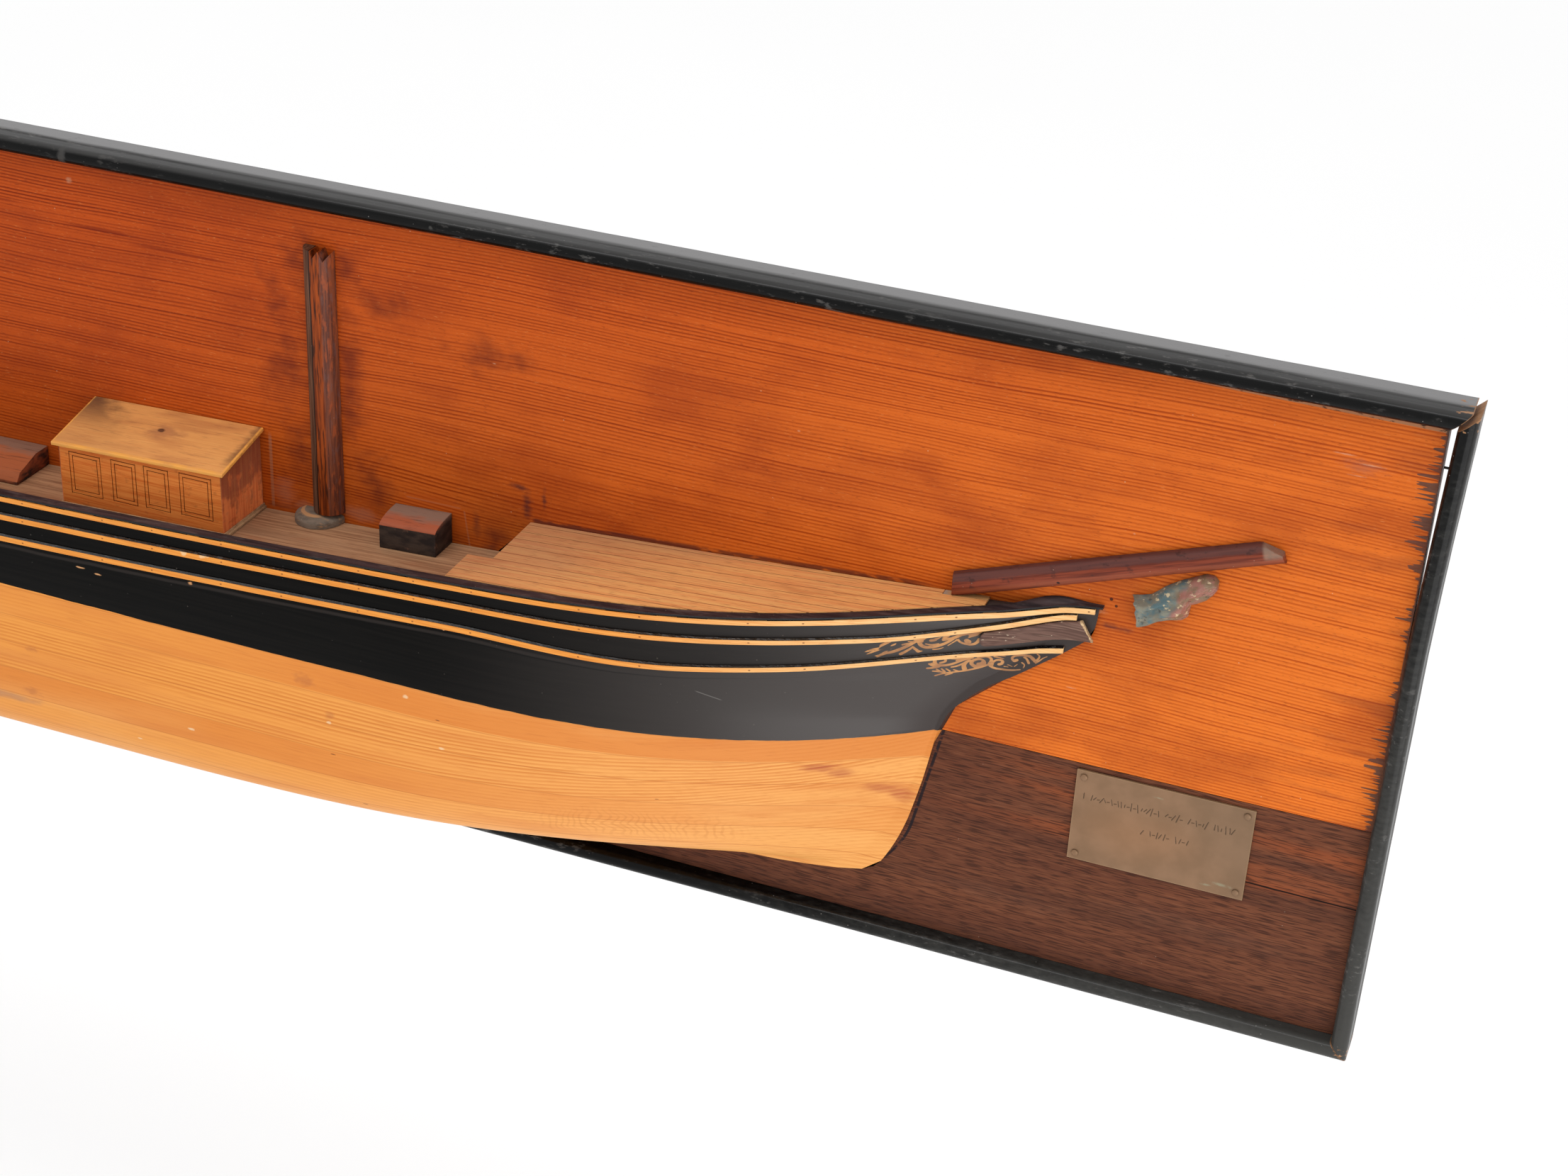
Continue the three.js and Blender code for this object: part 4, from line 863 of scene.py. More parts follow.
def plate_strokes():
    """Two rows of short slanted marks and dashes with gaps between, which spell nothing."""
    dice = random.Random(41)
    strokes = []
    for x, end, z, high in ((737.5, 809.5, -60.8, 2.1), (767, 789.5, -72.8, 1.7)):
        while x < end:
            lean = dice.uniform(-0.5, 0.9)
            tall = high * dice.choice((0.35, 0.7, 0.7, 1))
            lift = dice.uniform(-0.3, 0.3) * (high - tall)
            middle = z + lift
            strokes.append((0.26, 0.2, [(x - lean, middle - tall), (x, middle), (x + lean, middle + tall)]))
            if dice.random() < 0.3:
                strokes.append((0.22, 0.18, [(x + 1.1, z - high * 0.2), (x + 2.3, z - high * 0.1)]))
                x += 1.6
            x += dice.choice((1.5, 1.7, 2.0, 3.9))
    return strokes


plate_segments = stroke_segments(plate_strokes())


def plate_cut(x, z):
    """1 in the middle of a mark and 0 outside."""
    return smooth(0.5 - stroke_distance(x, z, plate_segments) / 0.26)


# ---------------------------------------------------------------- finishes

# Share of a screen colour that a finish takes under the studio's light, places inside the frame's mouldings
# that tell outer from inner faces, and the line along the bowsprit from which its finish is measured
LIT = 0.70
FRAME_TOP, FRAME_RIGHT = 166, 872
HEEL, SPAR_RISE = 36.6, 0.348


def tone(r, g, b):
    """Linear colour that the studio's light brings up to this screen colour."""
    return tuple(LIT * (((c / 255 + 0.055) / 1.055) ** 2.4 if c > 10 else c / 255 / 12.92) for c in (r, g, b))


def sums(operation, turned=False):
    """The method of a Tap that writes one kind of sum."""
    def write(*terms):
        terms = terms[::-1] if turned else terms
        coat = next(term.coat for term in terms if isinstance(term, Tap))
        return coat.node("Math", {"operation": operation}, dict(enumerate(terms)))
    return write


class Tap:
    """A node's output that Python sums can be written with."""

    def __init__(self, coat, socket):
        self.coat, self.socket = coat, socket

    __add__ = __radd__ = sums("ADD")
    __mul__ = __rmul__ = sums("MULTIPLY")
    __sub__, __rsub__ = sums("SUBTRACT"), sums("SUBTRACT", turned=True)
    __truediv__, __pow__, __abs__ = sums("DIVIDE"), sums("POWER"), sums("ABSOLUTE")
    above, below = sums("MAXIMUM"), sums("MINIMUM")
    part, whole, wave = sums("FRACT"), sums("FLOOR"), sums("SINE")


class Coat:
    """One finish: a material, the place on the piece in millimetres, and the patterns that it is made of."""

    def __init__(self, name):
        self.material = bpy.data.materials.new(name)
        self.material.use_nodes = True
        self.tree = self.material.node_tree
        self.tree.nodes.clear()
        self.place = self.node("TexCoord", {}, {}, "Object")
        split = self.node("SeparateXYZ", {}, {0: self.place}).socket.node
        self.x, self.y, self.z = (Tap(self, out) * 1000 for out in split.outputs)
        self.off = 0 - self.y

    def node(self, kind, settings, sockets, out=0):
        made = self.tree.nodes.new("ShaderNode" + kind)
        for key, value in settings.items():
            setattr(made, key, value)
        for key, value in sockets.items():
            if isinstance(value, Tap):
                self.tree.links.new(value.socket, made.inputs[key])
            else:
                made.inputs[key].default_value = value
        return Tap(self, made.outputs[out])

    def facing(self):
        """Which way the surface faces: forward, into the wall and up."""
        normal = self.node("NewGeometry", {}, {}, "Normal")
        return [Tap(self, out) for out in self.node("SeparateXYZ", {}, {0: normal}).socket.node.outputs]

    def attribute(self, name):
        return self.node("Attribute", {"attribute_name": name}, {}, "Fac")

    def grain(self, long, deep, high, detail=2, rough=0.5, shift=0):
        """Noise from 0 to 1 whose patches are this long, deep and high in millimetres."""
        scaled = self.node("Mapping", {}, {"Vector": self.place, "Location": (shift, shift * 0.7, shift * 0.3),
                                           "Scale": (1000 / long, 1000 / deep, 1000 / high)})
        return self.node("TexNoise", {}, {"Vector": scaled, "Scale": 1.0, "Detail": detail, "Roughness": rough})

    def ease(self, value, low, high):
        """0 below low and 1 above high, with a smooth step between."""
        return self.node("MapRange", {"interpolation_type": "SMOOTHSTEP"},
                         {0: value, 1: low, 2: high, 3: 0.0, 4: 1.0})

    def fade(self, value, low, high):
        return 1 - self.ease(value, low, high)

    def stretch(self, value, low, full, end, gone):
        """1 between full and end, and 0 below low and above gone."""
        return self.ease(value, low, full) * self.fade(value, end, gone)

    def patches(self, low, high, *size, **more):
        """Soft patches where the grain lies above low."""
        return self.ease(self.grain(*size, **more), low, high)

    def sway(self, width, *size, **more):
        """Grain as a wandering to both sides, this wide in all."""
        return (self.grain(*size, **more) - 0.5) * width

    def scatter(self, value):
        """A different number from 0 to 1 for each whole number."""
        return self.node("TexWhiteNoise", {"noise_dimensions": "1D"}, {"W": value})

    def mix(self, a, b, share):
        """Colours are either screen colours, as red, green and blue up to 255, or mixed already."""
        a, b = (c if isinstance(c, Tap) else (*tone(*c), 1.0) for c in (a, b))
        return self.node("Mix", {"data_type": "RGBA"}, {0: share, 6: a, 7: b}, 2)

    def start(self, a, b, share):
        """Begins the colour that the finish is built up from."""
        self.colour = self.mix(a, b, share)

    def lay(self, colour, share):
        """Brings a colour over what is there, as far as its share."""
        self.colour = self.mix(self.colour, colour, share)

    def line(self, rings, start, full, end=0.95):
        """Late wood of growth rings: it darkens slowly and ends at once."""
        return self.stretch(rings.part(), start, full, end, 1.0)

    def spots(self, places, ragged, size, low, flat=False):
        """Stains with ragged borders, 1 in their middles. Each has its place along and up, and its reach along
        and up. Flat ones lie on a deck and have y instead of up."""
        far = None
        for x, z, wide, high in places:
            move, grow = (-x / wide, 0, -z / high), (1000 / wide, 0, 1000 / high)
            if flat:
                move, grow = ((a, c, b) for a, b, c in (move, grow))
            moved = self.node("Mapping", {}, {"Vector": self.place, "Location": move, "Scale": grow})
            gone = self.node("VectorMath", {"operation": "LENGTH"}, {0: moved}, "Value")
            far = gone if far is None else far.below(gone)
        return self.fade(far + self.sway(ragged * 2, *size, 2, 0.6, places[0][0] * 0.01), low, 1.1)

    def band(self, value, middle, half, soft):
        """1 this far to both sides of the middle, with soft borders outside."""
        return self.fade(abs(value - middle), half, half + soft)

    def specks(self, size, radius, share, shift=0.0):
        """Small separate dots: about one in each cell of that size, of which only a share shows."""
        moved = self.node("Mapping", {}, {"Vector": self.place, "Location": (shift, shift, shift)})
        dots = self.node("TexVoronoi", {"feature": "F1"},
                         {"Vector": moved, "Scale": 1000 / size, "Randomness": 1.0})
        chance = self.node("SeparateColor", {}, {0: Tap(self, dots.socket.node.outputs["Color"])})
        return self.fade(dots, radius * 0.5, radius) * self.ease(chance, 1 - share, 1 - share + 0.02)

    def done(self, rough, height, depth, metal=0.0, coat=0.0, coat_rough=0.15, specular=0.3):
        """Height is in units of depth, which is in millimetres."""
        bump = self.node("Bump", {}, {"Strength": 1.0, "Distance": depth * MM, "Height": height})
        shader = self.node("BsdfPrincipled", {}, {
            "Base Color": self.colour, "Roughness": rough, "Metallic": metal, "Normal": bump,
            "Coat Weight": coat, "Coat Roughness": coat_rough, "Specular IOR Level": specular})
        output = self.tree.nodes.new("ShaderNodeOutputMaterial")
        self.tree.links.new(shader.socket, output.inputs["Surface"])
        return self.material


def varnished_pine():
    c = Coat("varnished_pine")
    sway = c.sway(17, 300, 90, 70, 1) + c.sway(2.2, 70, 40, 18, 1)
    front = c.fade(c.y, FACE + 0.5, FACE + 2)
    rings = (c.z + sway) / 1.78
    late = c.line(rings, 0.25, 0.7, 0.82) * (0.5 + 0.35 * c.scatter(rings.whole()))
    late = late * c.patches(0.22, 0.62, 260, 40, 3.4, 1, shift=5)
    # Lighter towards the lower right: a painted falloff of the studio light from that side, laid into the
    # wood's colour
    light_falloff = c.ease(c.x - c.z * 2.4 + c.sway(260, 160, 60, 60, 1, shift=3), -150, 1000)
    early = c.mix((198, 82, 24), (240, 126, 44), light_falloff)
    dark = c.mix((112, 26, 2), (170, 60, 6), light_falloff)
    c.start(early, dark, late)
    brown = c.spots([(600, 74, 90, 26), (655, 56, 34, 12), (664, -28, 22, 12), (470, 20, 60, 16)], 0.8,
                    (60, 30, 20), -0.1)
    cloud = c.patches(0.46, 0.7, 80, 60, 36, 3, 0.6, 7)
    c.lay((146, 52, 20), cloud * 0.4 + brown * 0.3)
    fleck = c.grain(2.8, 2, 0.4, 1, shift=2)
    c.lay((238, 150, 84), c.ease(fleck, 0.66, 0.8) * 0.35)
    c.lay((104, 34, 14), c.fade(fleck, 0.24, 0.38) * 0.4)
    # Dark patches round the masts and by the companion: stains, partly painted shade beside the masts, and a
    # painted shadow to the right of the companion
    dark_patches = c.spots([(324, 132, 12, 22), (312, 112, 10, 20), (315, 72, 16, 40), (322, 24, 12, 34),
                     (352, 130, 13, 24), (368, 116, 20, 16), (352, 74, 12, 60), (362, 20, 14, 26),
                     (429, 5, 11, 12), (425, 100, 30, 12), (-92, 120, 16, 30), (-120, 60, 12, 70),
                     (-455, 90, 14, 30), (-480, 30, 10, 50)], 1.2, (15, 10, 12), -0.45) * front
    c.lay((92, 32, 26), dark_patches * (0.3 + 0.65 * c.grain(11, 5, 7, 3, 0.6, 4)))
    haze_and_sheen = c.spots([(311, 3, 9, 10), (326, -3, 14, 4), (355, 0, 14, 5)], 0.6, (9, 9, 6), 0.1) * front
    c.lay((196, 132, 104), haze_and_sheen * 0.4)
    smear = c.spots([(447, 26, 3.4, 11), (444, 35, 7, 2.4), (456.5, 31, 1.8, 8), (742, 31, 9, 2.2)], 0.8,
                    (6, 6, 3), -0.1) * front
    # Dark marks along the deck's edge and round the companion; the one just right of the companion is a painted
    # shadow
    blotches = c.spots([(419.5, 9, 3, 9), (400, 18, 15, 1.5), (428, -2, 7, 3), (310, -6, 12, 2.5)], 0.7,
                    (6, 6, 4), -0.1) * front
    c.lay((74, 40, 42), smear * 0.7 + blotches * 0.45)
    clean = c.spots([(396, 10, 22, 11), (296, 6, 6, 36)], 0.25, (9, 9, 6), 0.8)
    c.lay(c.mix((212, 96, 30), (168, 58, 10), late), clean * 0.8)
    red = c.spots([(215, 126, 26, 1.4), (262, 122, 34, 1.1), (150, 132, 30, 1)], 0.3, (20, 9, 9), 0.3)
    c.lay((116, 26, 8), red * 0.55)
    glue = c.band(c.x, 304.4, 0.5, 0.7) * c.stretch(c.z, -8, -5, 30, 36)
    round_hatch = c.band(c.z, 16, 0.2, 0.5) * c.stretch(c.x, 380, 382, 410, 412)
    beside_hatch = c.band(c.x + c.z * 0.15, 415.2, 0.2, 0.5) * c.fade(c.z, 14, 16)
    glue = glue.above(round_hatch * 0.5).above(beside_hatch * 0.6)
    c.lay((190, 140, 108), glue * 0.4)
    over = c.z - 16.5 - (c.x - 430) * 0.0522 - (c.x - 430) ** 2 * 0.0000524
    joint = c.band(over, 0.9, 0.7, 1.2) * c.stretch(c.x, 449, 452, 640, 660) * front
    c.lay((70, 36, 38), joint * c.patches(0.3, 0.5, 9, 9, 3, 2, shift=14) * 0.7)
    tatter = c.grain(4, 4, 1.2, 3, 0.6, 6)
    bare = c.ease(c.z - 157.7 + (c.x - 748) * 0.012, -0.3, 0.2) * c.ease(c.x, 745, 785)
    c.lay(c.mix((176, 120, 84), (56, 38, 32), c.ease(tatter, 0.54, 0.66)), bare)
    tooth = c.patches(0.42, 0.7, 60, 60, 1.6, 1, shift=1)
    tooth = tooth * c.patches(0.36, 0.56, 400, 90, 24, 1, shift=12) * 9
    teeth = c.ease(abs(c.x) - 869.4 + tooth, -0.3, 0.3) * front
    c.lay(c.mix((96, 82, 76), (52, 43, 40), tatter), teeth * 0.85)
    shadow = c.patches(0.48, 0.7, 40, 30, 7, 2, shift=8) * c.ease(c.x, 790, 868)
    c.lay((126, 56, 34), shadow * 0.35)
    rubbed = c.spots([(838, 134, 12, 4.5)], 0.9, (5, 5, 2), 0.0) * front
    c.lay((150, 92, 78), rubbed * 0.4)
    holes = c.spots([(738.5, 45.1, 0.9, 0.9), (741.1, 42.1, 0.8, 0.8)], 0.1, (3, 3, 3), 0.7)
    c.lay((38, 26, 24), holes * 0.85)
    scuff = c.spots([(724.7, -5.2, 2.8, 0.5), (830, 138, 5, 0.5), (842, 135, 7, 0.5), (836, 129, 5, 0.4),
                     (731, 38, 6, 2), (197.7, 149.1, 2.2, 1.8), (745, 80, 0.8, 0.6), (585, 96, 0.8, 0.5),
                     (430, 98, 1.2, 0.4)], 0.7, (3, 3, 1.4), 0.2)
    c.lay((222, 168, 132), scuff * 0.45)
    c.lay((232, 190, 150), c.specks(9, 0.04, 0.35) * 0.55)
    rough = 0.42 + 0.2 * dark_patches + 0.25 * teeth
    return c.done(rough, fleck, 0.05, coat=0.03, coat_rough=0.25, specular=0.06)


def dark_board():
    c = Coat("dark_board")
    wave = c.z + c.sway(7, 240, 60, 30, 1)
    c.start((118, 70, 48), (102, 59, 42), c.patches(0.36, 0.64, 70, 10, 2.2, 2, 0.6))
    redder = c.patches(0.4, 0.65, 120, 40, 12, 1, shift=2) * c.ease(c.x, 640, 760)
    c.lay((158, 82, 46), redder * c.ease(c.z, -92, -86) * 0.7)
    c.lay((72, 44, 35), c.patches(0.5, 0.7, 260, 60, 18, 1, shift=7) * 0.35)
    grain = c.grain(11, 5, 0.7, 1, 0.5, 4)
    pores = c.ease(grain, 0.5, 0.62)
    c.lay((52, 30, 24), pores * 0.66)
    c.lay((150, 100, 74), c.fade(grain, 0.26, 0.38) * 0.3)
    rings = wave / 3.1
    c.lay((64, 38, 30), c.line(rings, 0.7, 0.9) * c.scatter(rings.whole()) * 0.4)
    joint = c.band(c.z + (c.x - 830) * 0.01, -87, 0.2, 0.35) * c.ease(c.x, 690, 760)
    c.lay((20, 12, 10), joint)
    # Darker along the bottom edge: a painted shade beside the bottom moulding
    c.lay((58, 42, 40), c.fade(c.z + c.sway(14, 60, 60, 20, 1, shift=9), -160, -146) * 0.35)
    # A dark line on the board along the stem's outline: a painted shadow where the hull meets the board
    stem = c.x - 666.6 - (c.z + 44) * 0.21 + ((0 - c.z - 100).above(0) ** 2) * 0.012
    stem_shadow_line = c.band(stem, 0, 0.5, 0.5) * c.patches(0.3, 0.46, 6, 6, 2.2, 2, shift=3) * c.ease(c.z, -132, -120)
    c.lay((30, 28, 34), stem_shadow_line * 0.9)
    dull = c.spots([(800, -120, 60, 8), (700, -130, 50, 6)], 0.8, (20, 20, 12), 0.2)
    c.lay((108, 76, 62), dull * 0.15)
    c.lay((176, 150, 130), c.specks(8, 0.04, 0.3) * 0.5)
    return c.done(0.5, 0 - pores, 0.05, coat=0.02, coat_rough=0.3, specular=0.06)


def black_frame():
    c = Coat("black_frame")
    nose = c.ease(c.off, 12.6, 15.0)
    brushed = c.grain(60, 2.5, 2.5, 2)
    c.start((11, 11, 11), (5, 5, 5), c.ease(brushed, 0.35, 0.65))
    tatter = c.grain(7, 3, 3, 3, 0.65, 5)
    fore, _, up = c.facing()
    outward = (up * c.z / FRAME_TOP).above(fore * c.x / FRAME_RIGHT)
    # Faces turned outward from the board are painted lighter grey, a painted sheen; faces turned in towards the
    # board are painted lighter grey too
    c.lay(c.mix((44, 43, 43), (70, 69, 68), brushed), c.ease(outward, 0.45, 0.9))
    c.lay((62, 60, 58), c.ease(0 - outward, 0.1, 0.6) * 0.8)
    # Lighter grey towards the lower right: a painted sheen
    c.lay((76, 75, 72), c.ease(c.x - c.z + (tatter - 0.5) * 300, 680, 1040) * 0.75)
    # Upward faces towards the wall, paler grey: painted sheen, with dust
    dust_and_sheen = c.ease(outward, 0.85, 1.0) * c.ease(c.y + (brushed - 0.5) * 3, -13.5, -8)
    c.lay(c.mix((108, 106, 104), (146, 145, 145), c.ease(c.z, 120, 160)), dust_and_sheen)
    c.lay((84, 80, 78), c.ease(tatter, 0.62, 0.74) * 0.25)
    corner = c.ease(abs(c.x), 869, 874) * c.ease(abs(c.z), 158, 163)
    chip = c.ease(tatter + corner * 0.1, 0.64, 0.68) * corner
    mitre = c.band(abs(c.x) - abs(c.z), 710, 0.2, 0.5) * c.ease(abs(c.z), 159, 161)
    mitre = mitre * c.ease(brushed, 0.36, 0.5)
    # The mitres' cut ends, which face the next moulding; 140000 is about x times z at the board's corner
    slanted = 0 - fore * up * c.x * c.z / 140000
    cut = c.ease(slanted, 0.3, 0.42)
    bare = chip.above(mitre).above(cut)
    c.lay(c.mix((214, 160, 112), (140, 96, 68), brushed), bare * 0.85)
    dust = c.specks(5, 0.07, 0.45).above(c.specks(2.6, 0.08, 0.16, 0.02))
    smudge = c.patches(0.56, 0.7, 9, 3, 3, 3, 0.7, 11) * c.patches(0.44, 0.6, 120, 60, 60, 1, shift=12)
    c.lay((150, 146, 142), dust.above(smudge * 0.45) * 0.55)
    dent = c.spots([(201, 164.5, 2.6, 5), (402, 164.5, 1.4, 1.2)], 0.5, (3, 3, 3), 0.4) * nose
    c.lay((78, 76, 74), dent * 0.7)
    rough = 0.5 - 0.26 * nose + 0.35 * dent + 0.15 * tatter
    bump = brushed + 0.5 * c.grain(2.4, 1.6, 1.6, 1, shift=3)
    return c.done(rough, bump, 0.08, coat=0.02 + 0.14 * nose, coat_rough=0.14, specular=0.05)


def hull_coats():
    """Varnished pine lifts under black topsides, one finish so that the paint's edge runs as it was brushed."""
    c = Coat("hull_coats")
    lift = (c.z + 44.2) / 16.2
    chance = c.scatter(lift.whole() + 7)
    ringed = c.band(c.z, -76.5, 15.6, 0.8)
    fan = ((c.x - 400).above(0) ** 2) * 0.0006 + ((0 - c.x - 480).above(0) ** 2) * 0.0006
    sway = c.sway(7, 260, 40, 30, 1) + c.sway(1.2, 40, 14, 10, 1, shift=5)
    rings = (c.z * 1.15 - fan * (0.5 + 0.7 * chance) + c.y * (chance - 0.4) * 0.5 + sway) / 2.7
    late = c.line(rings, 0.2, 0.72, 0.86) * c.patches(0.2, 0.6, 300, 40, 9, 1, shift=9)
    bow = c.ease(c.x, 250, 640)
    late = late * (0.2 + 0.35 * ringed + 0.15 * bow)
    c.start(c.mix((250, 166, 76), (254, 180, 100), bow), c.mix((204, 108, 30), (218, 126, 48), bow), late)
    warm = c.band(c.z, -52, 7.5, 0.4) * (0.1 + 0.45 * c.ease(c.x, 240, 420))
    warm = warm + c.scatter(lift.whole() + 3) * 0.15 + c.band(c.z, -101, 7.8, 0.6) * (0.6 - 0.4 * bow)
    c.lay((226, 128, 50), warm)
    # Paler patches, and a painted highlight towards the keel where the bilge turns under
    bilge_highlight = c.ease(0 - c.z, 118, 146)
    c.lay((255, 186, 108), (c.patches(0.5, 0.75, 180, 60, 26, 2, shift=3) * 0.35).above(bilge_highlight * 0.4))
    c.lay((224, 132, 60), c.patches(0.52, 0.72, 120, 50, 12, 2, shift=13) * 0.4)
    seams = c.band((lift + 0.5).part(), 0.5, 0.008, 0.02)
    c.lay((190, 108, 46), seams * 0.4)
    swirl = c.grain(30, 30, 12, 1)
    ripple = (c.x * 1.7 + swirl * 38).wave()
    feather = c.spots([(525, -112, 60, 14), (360, -139, 60, 8), (140, -135, 60, 9), (-150, -128, 90, 12)],
                      0.6, (18, 18, 12), 0.3)
    c.lay((206, 124, 54), c.ease(ripple, 0.1, 0.9) * feather * 0.3)
    knots = c.spots([(614, -65, 10, 4.5), (623, -69, 8, 4.5), (640, -80, 12, 4), (649, -84, 9, 6)], 0.6,
                    (12, 7, 2.4), 0.2)
    c.lay((178, 78, 52), knots * (0.45 + 0.45 * late))
    smudge = c.spots([(363, -55, 7, 5), (376, -72, 3, 3), (203, -78, 5, 2.5), (200, -105, 6, 4),
                      (150, -110, 30, 5), (-60, -70, 8, 3), (-330, -96, 10, 4)], 0.9, (5, 5, 3), 0.1)
    c.lay((168, 92, 60), smudge * 0.35)
    c.lay((150, 118, 108), c.spots([(170, -112, 44, 4)], 0.6, (12, 9, 5), 0.3) * 0.45)
    pale = c.spots([(418.4, -49.8, 1.8, 1.2), (375.5, -75.9, 1.6, 1), (295, -102, 2, 0.9),
                    (436.7, -75.2, 1.6, 0.8), (262, -118, 1.8, 0.7), (95, -66, 2, 1), (-210, -84, 2, 1)], 0.5,
                   (2, 2, 2), 0.4)
    c.lay((255, 222, 176), pale * 0.7)
    ticks = c.spots([(376.7, -94.5, 1.6, 0.4), (389, -126, 1.8, 0.4), (435.3, -58.8, 1.4, 0.4),
                     (540, -90, 1.2, 0.3), (60, -90, 1.8, 0.4), (-120, -75, 1.6, 0.4)], 0.3, (2, 2, 2), 0.5)
    c.lay((120, 66, 34), ticks * 0.8)
    fine = c.grain(16, 3, 0.5, 1, shift=8)
    c.lay((206, 118, 50), c.ease(fine, 0.56, 0.72) * 0.3)

    # The black topsides, down to an edge that lies a little higher aft
    wood = c.colour
    edge = c.z + 44 - 1.8 * c.fade(c.x, 120, 320) + c.sway(0.8, 16, 6, 16, 2, 0.6, 9)
    painted = c.ease(edge, -0.1, 0.1)
    brushed = c.grain(70, 5, 1.6, 2, shift=2)
    seam = c.attribute("seam") + c.sway(1.3, 26, 9, 9, 2, shift=11)
    # A grey sheen painted into the black towards the bow: a painted reflection; the same mask gives the paint
    # more gloss
    haze_and_sheen = c.ease(c.x, 420, 660) * (1 - 0.6 * c.ease(seam, 4, 9) * c.fade(c.x, 560, 700))
    c.start(c.mix((14, 12, 10), (7, 6, 5), c.ease(brushed, 0.35, 0.65)), (76, 69, 66), haze_and_sheen * 0.85)
    # Darker brown along the stem: the dark part of the same painted reflection
    c.lay((46, 32, 28), c.ease(c.x - 666 - (c.z + 44) * 0.85, -30, -8) * 0.6)
    # A painted highlight along the top of the seam below the lower batten
    seam_sheen = c.band(seam, 0.9, 0.3, 1.0) * (1 - haze_and_sheen)
    c.lay((62, 55, 52), seam_sheen * 0.5)
    c.lay((6, 5, 5), c.band(seam, -0.5, 0.1, 0.3) * 0.8 * c.ease(c.x, 330, 380) * (1 - haze_and_sheen))
    worn = c.specks(7, 0.06, 0.4).above(c.specks(3.1, 0.08, 0.15, 0.03))
    c.lay((120, 112, 104), worn * 0.4)
    scratch = c.band(c.z + 21 + (c.x - 565) * 0.36, 0, 0.12, 0.25) * c.stretch(c.x, 560, 562, 571, 573)
    c.lay((120, 116, 112), scratch * 0.6)
    bare_line = c.band(seam, 0, 0.16, 0.2) * c.fade(c.x, 196, 204) * c.ease(c.x, 120, 150)
    bare_line = bare_line * c.ease(brushed, 0.42, 0.5)
    chips = c.spots([(237, -23, 2.6, 0.5), (247, -24.4, 2.5, 0.45), (300, -17, 1.4, 0.9), (438, -9, 0.7, 0.7),
                     (-40, -24, 3, 0.5), (-180, -18, 2, 0.7), (-420, -12, 2.4, 0.6)], 0.7, (3, 3, 1), 0.45)
    c.lay((226, 168, 116), chips.above(bare_line) * 0.9)
    gilt = c.fade(c.attribute("scroll"), -0.05, 0.1)
    gilt = gilt * (0.7 + 0.3 * c.patches(0.3, 0.48, 2.4, 2, 1.2, 2, 0.6, 5))
    c.lay(c.mix((214, 152, 92), (178, 124, 80), c.patches(0.35, 0.65, 9, 5, 6, 1, shift=4)), gilt * 0.92)
    c.start(wood, c.colour, painted)
    rough = (0.42 + 0.1 * fine) * (1 - painted) + painted * (0.28 + 0.25 * gilt)
    height = fine * (1 - painted) * 0.4 + painted * (0.8 + 0.4 * brushed)
    gloss = (0.03 + 0.42 * haze_and_sheen) * painted + 0.16 * (1 - painted)
    return c.done(rough, height, 0.06, coat=gloss, coat_rough=0.4, specular=0.06)


def batten_face():
    c = Coat("batten_face")
    fine = c.grain(26, 6, 0.5, 2)
    bow = c.ease(c.x, 500, 660)
    c.start(c.mix((250, 166, 74), (255, 208, 144), bow), c.mix((232, 142, 56), (244, 180, 112), bow),
            c.ease(fine, 0.35, 0.7))
    place = c.x / 37
    nail = c.band(place.part() * 37, 6 + 25 * c.scatter(place.whole()), 0.3, 0.3)
    nail = nail * c.band(c.attribute("rise"), 0.5, 0.08, 0.08)
    c.lay((120, 66, 36), nail * 0.8)
    c.lay((206, 130, 68), c.patches(0.6, 0.74, 14, 3, 1.4, 3, shift=9) * 0.4)
    chip = c.spots([(297, 0.5, 2.2, 3), (308, 0, 3.5, 1.6), (-80, -10, 3, 3)], 0.9, (3, 3, 2), 0.5)
    c.lay((255, 226, 178), chip * 0.6)
    return c.done(0.5, fine + nail * -1.5, 0.05, coat=0.03, coat_rough=0.25, specular=0.12)


def batten_black():
    c = Coat("batten_black")
    brushed = c.grain(30, 2, 2, 3)
    c.start((22, 20, 20), (12, 12, 12), brushed)
    # Pale flecks on the black ledge: flaked paint, and painted glints along it
    flakes_and_glints = c.patches(0.54, 0.62, 3, 1.2, 1.2, 2, 0.65, 3)
    c.lay((120, 116, 116), flakes_and_glints * 0.22)
    height = brushed + 0.8 * c.grain(2.5, 1, 1, 2, shift=2)
    return c.done(0.22 + 0.3 * flakes_and_glints, height, 0.1, coat=0.6, coat_rough=0.1)


def rail_black():
    c = Coat("rail_black")
    brushed = c.grain(50, 3, 3, 2)
    c.start((74, 58, 58), (46, 36, 38), c.ease(brushed, 0.35, 0.65))
    dust_and_sheen = c.patches(0.5, 0.7, 14, 5, 5, 3, 0.65, 4)
    c.lay((118, 102, 98), dust_and_sheen * 0.3)
    outer = c.attribute("edge")
    c.lay((18, 16, 17), c.ease(outer, 0.55, 0.85))
    worn = c.specks(3.2, 0.1, 0.3)
    c.lay((160, 140, 128), worn * 0.5)
    rough = 0.55 - 0.25 * c.ease(outer, 0.5, 0.9)
    return c.done(rough, brushed + dust_and_sheen * 0.6 + worn * 0.5, 0.1, coat=0.03 + 0.3 * outer, specular=0.12)


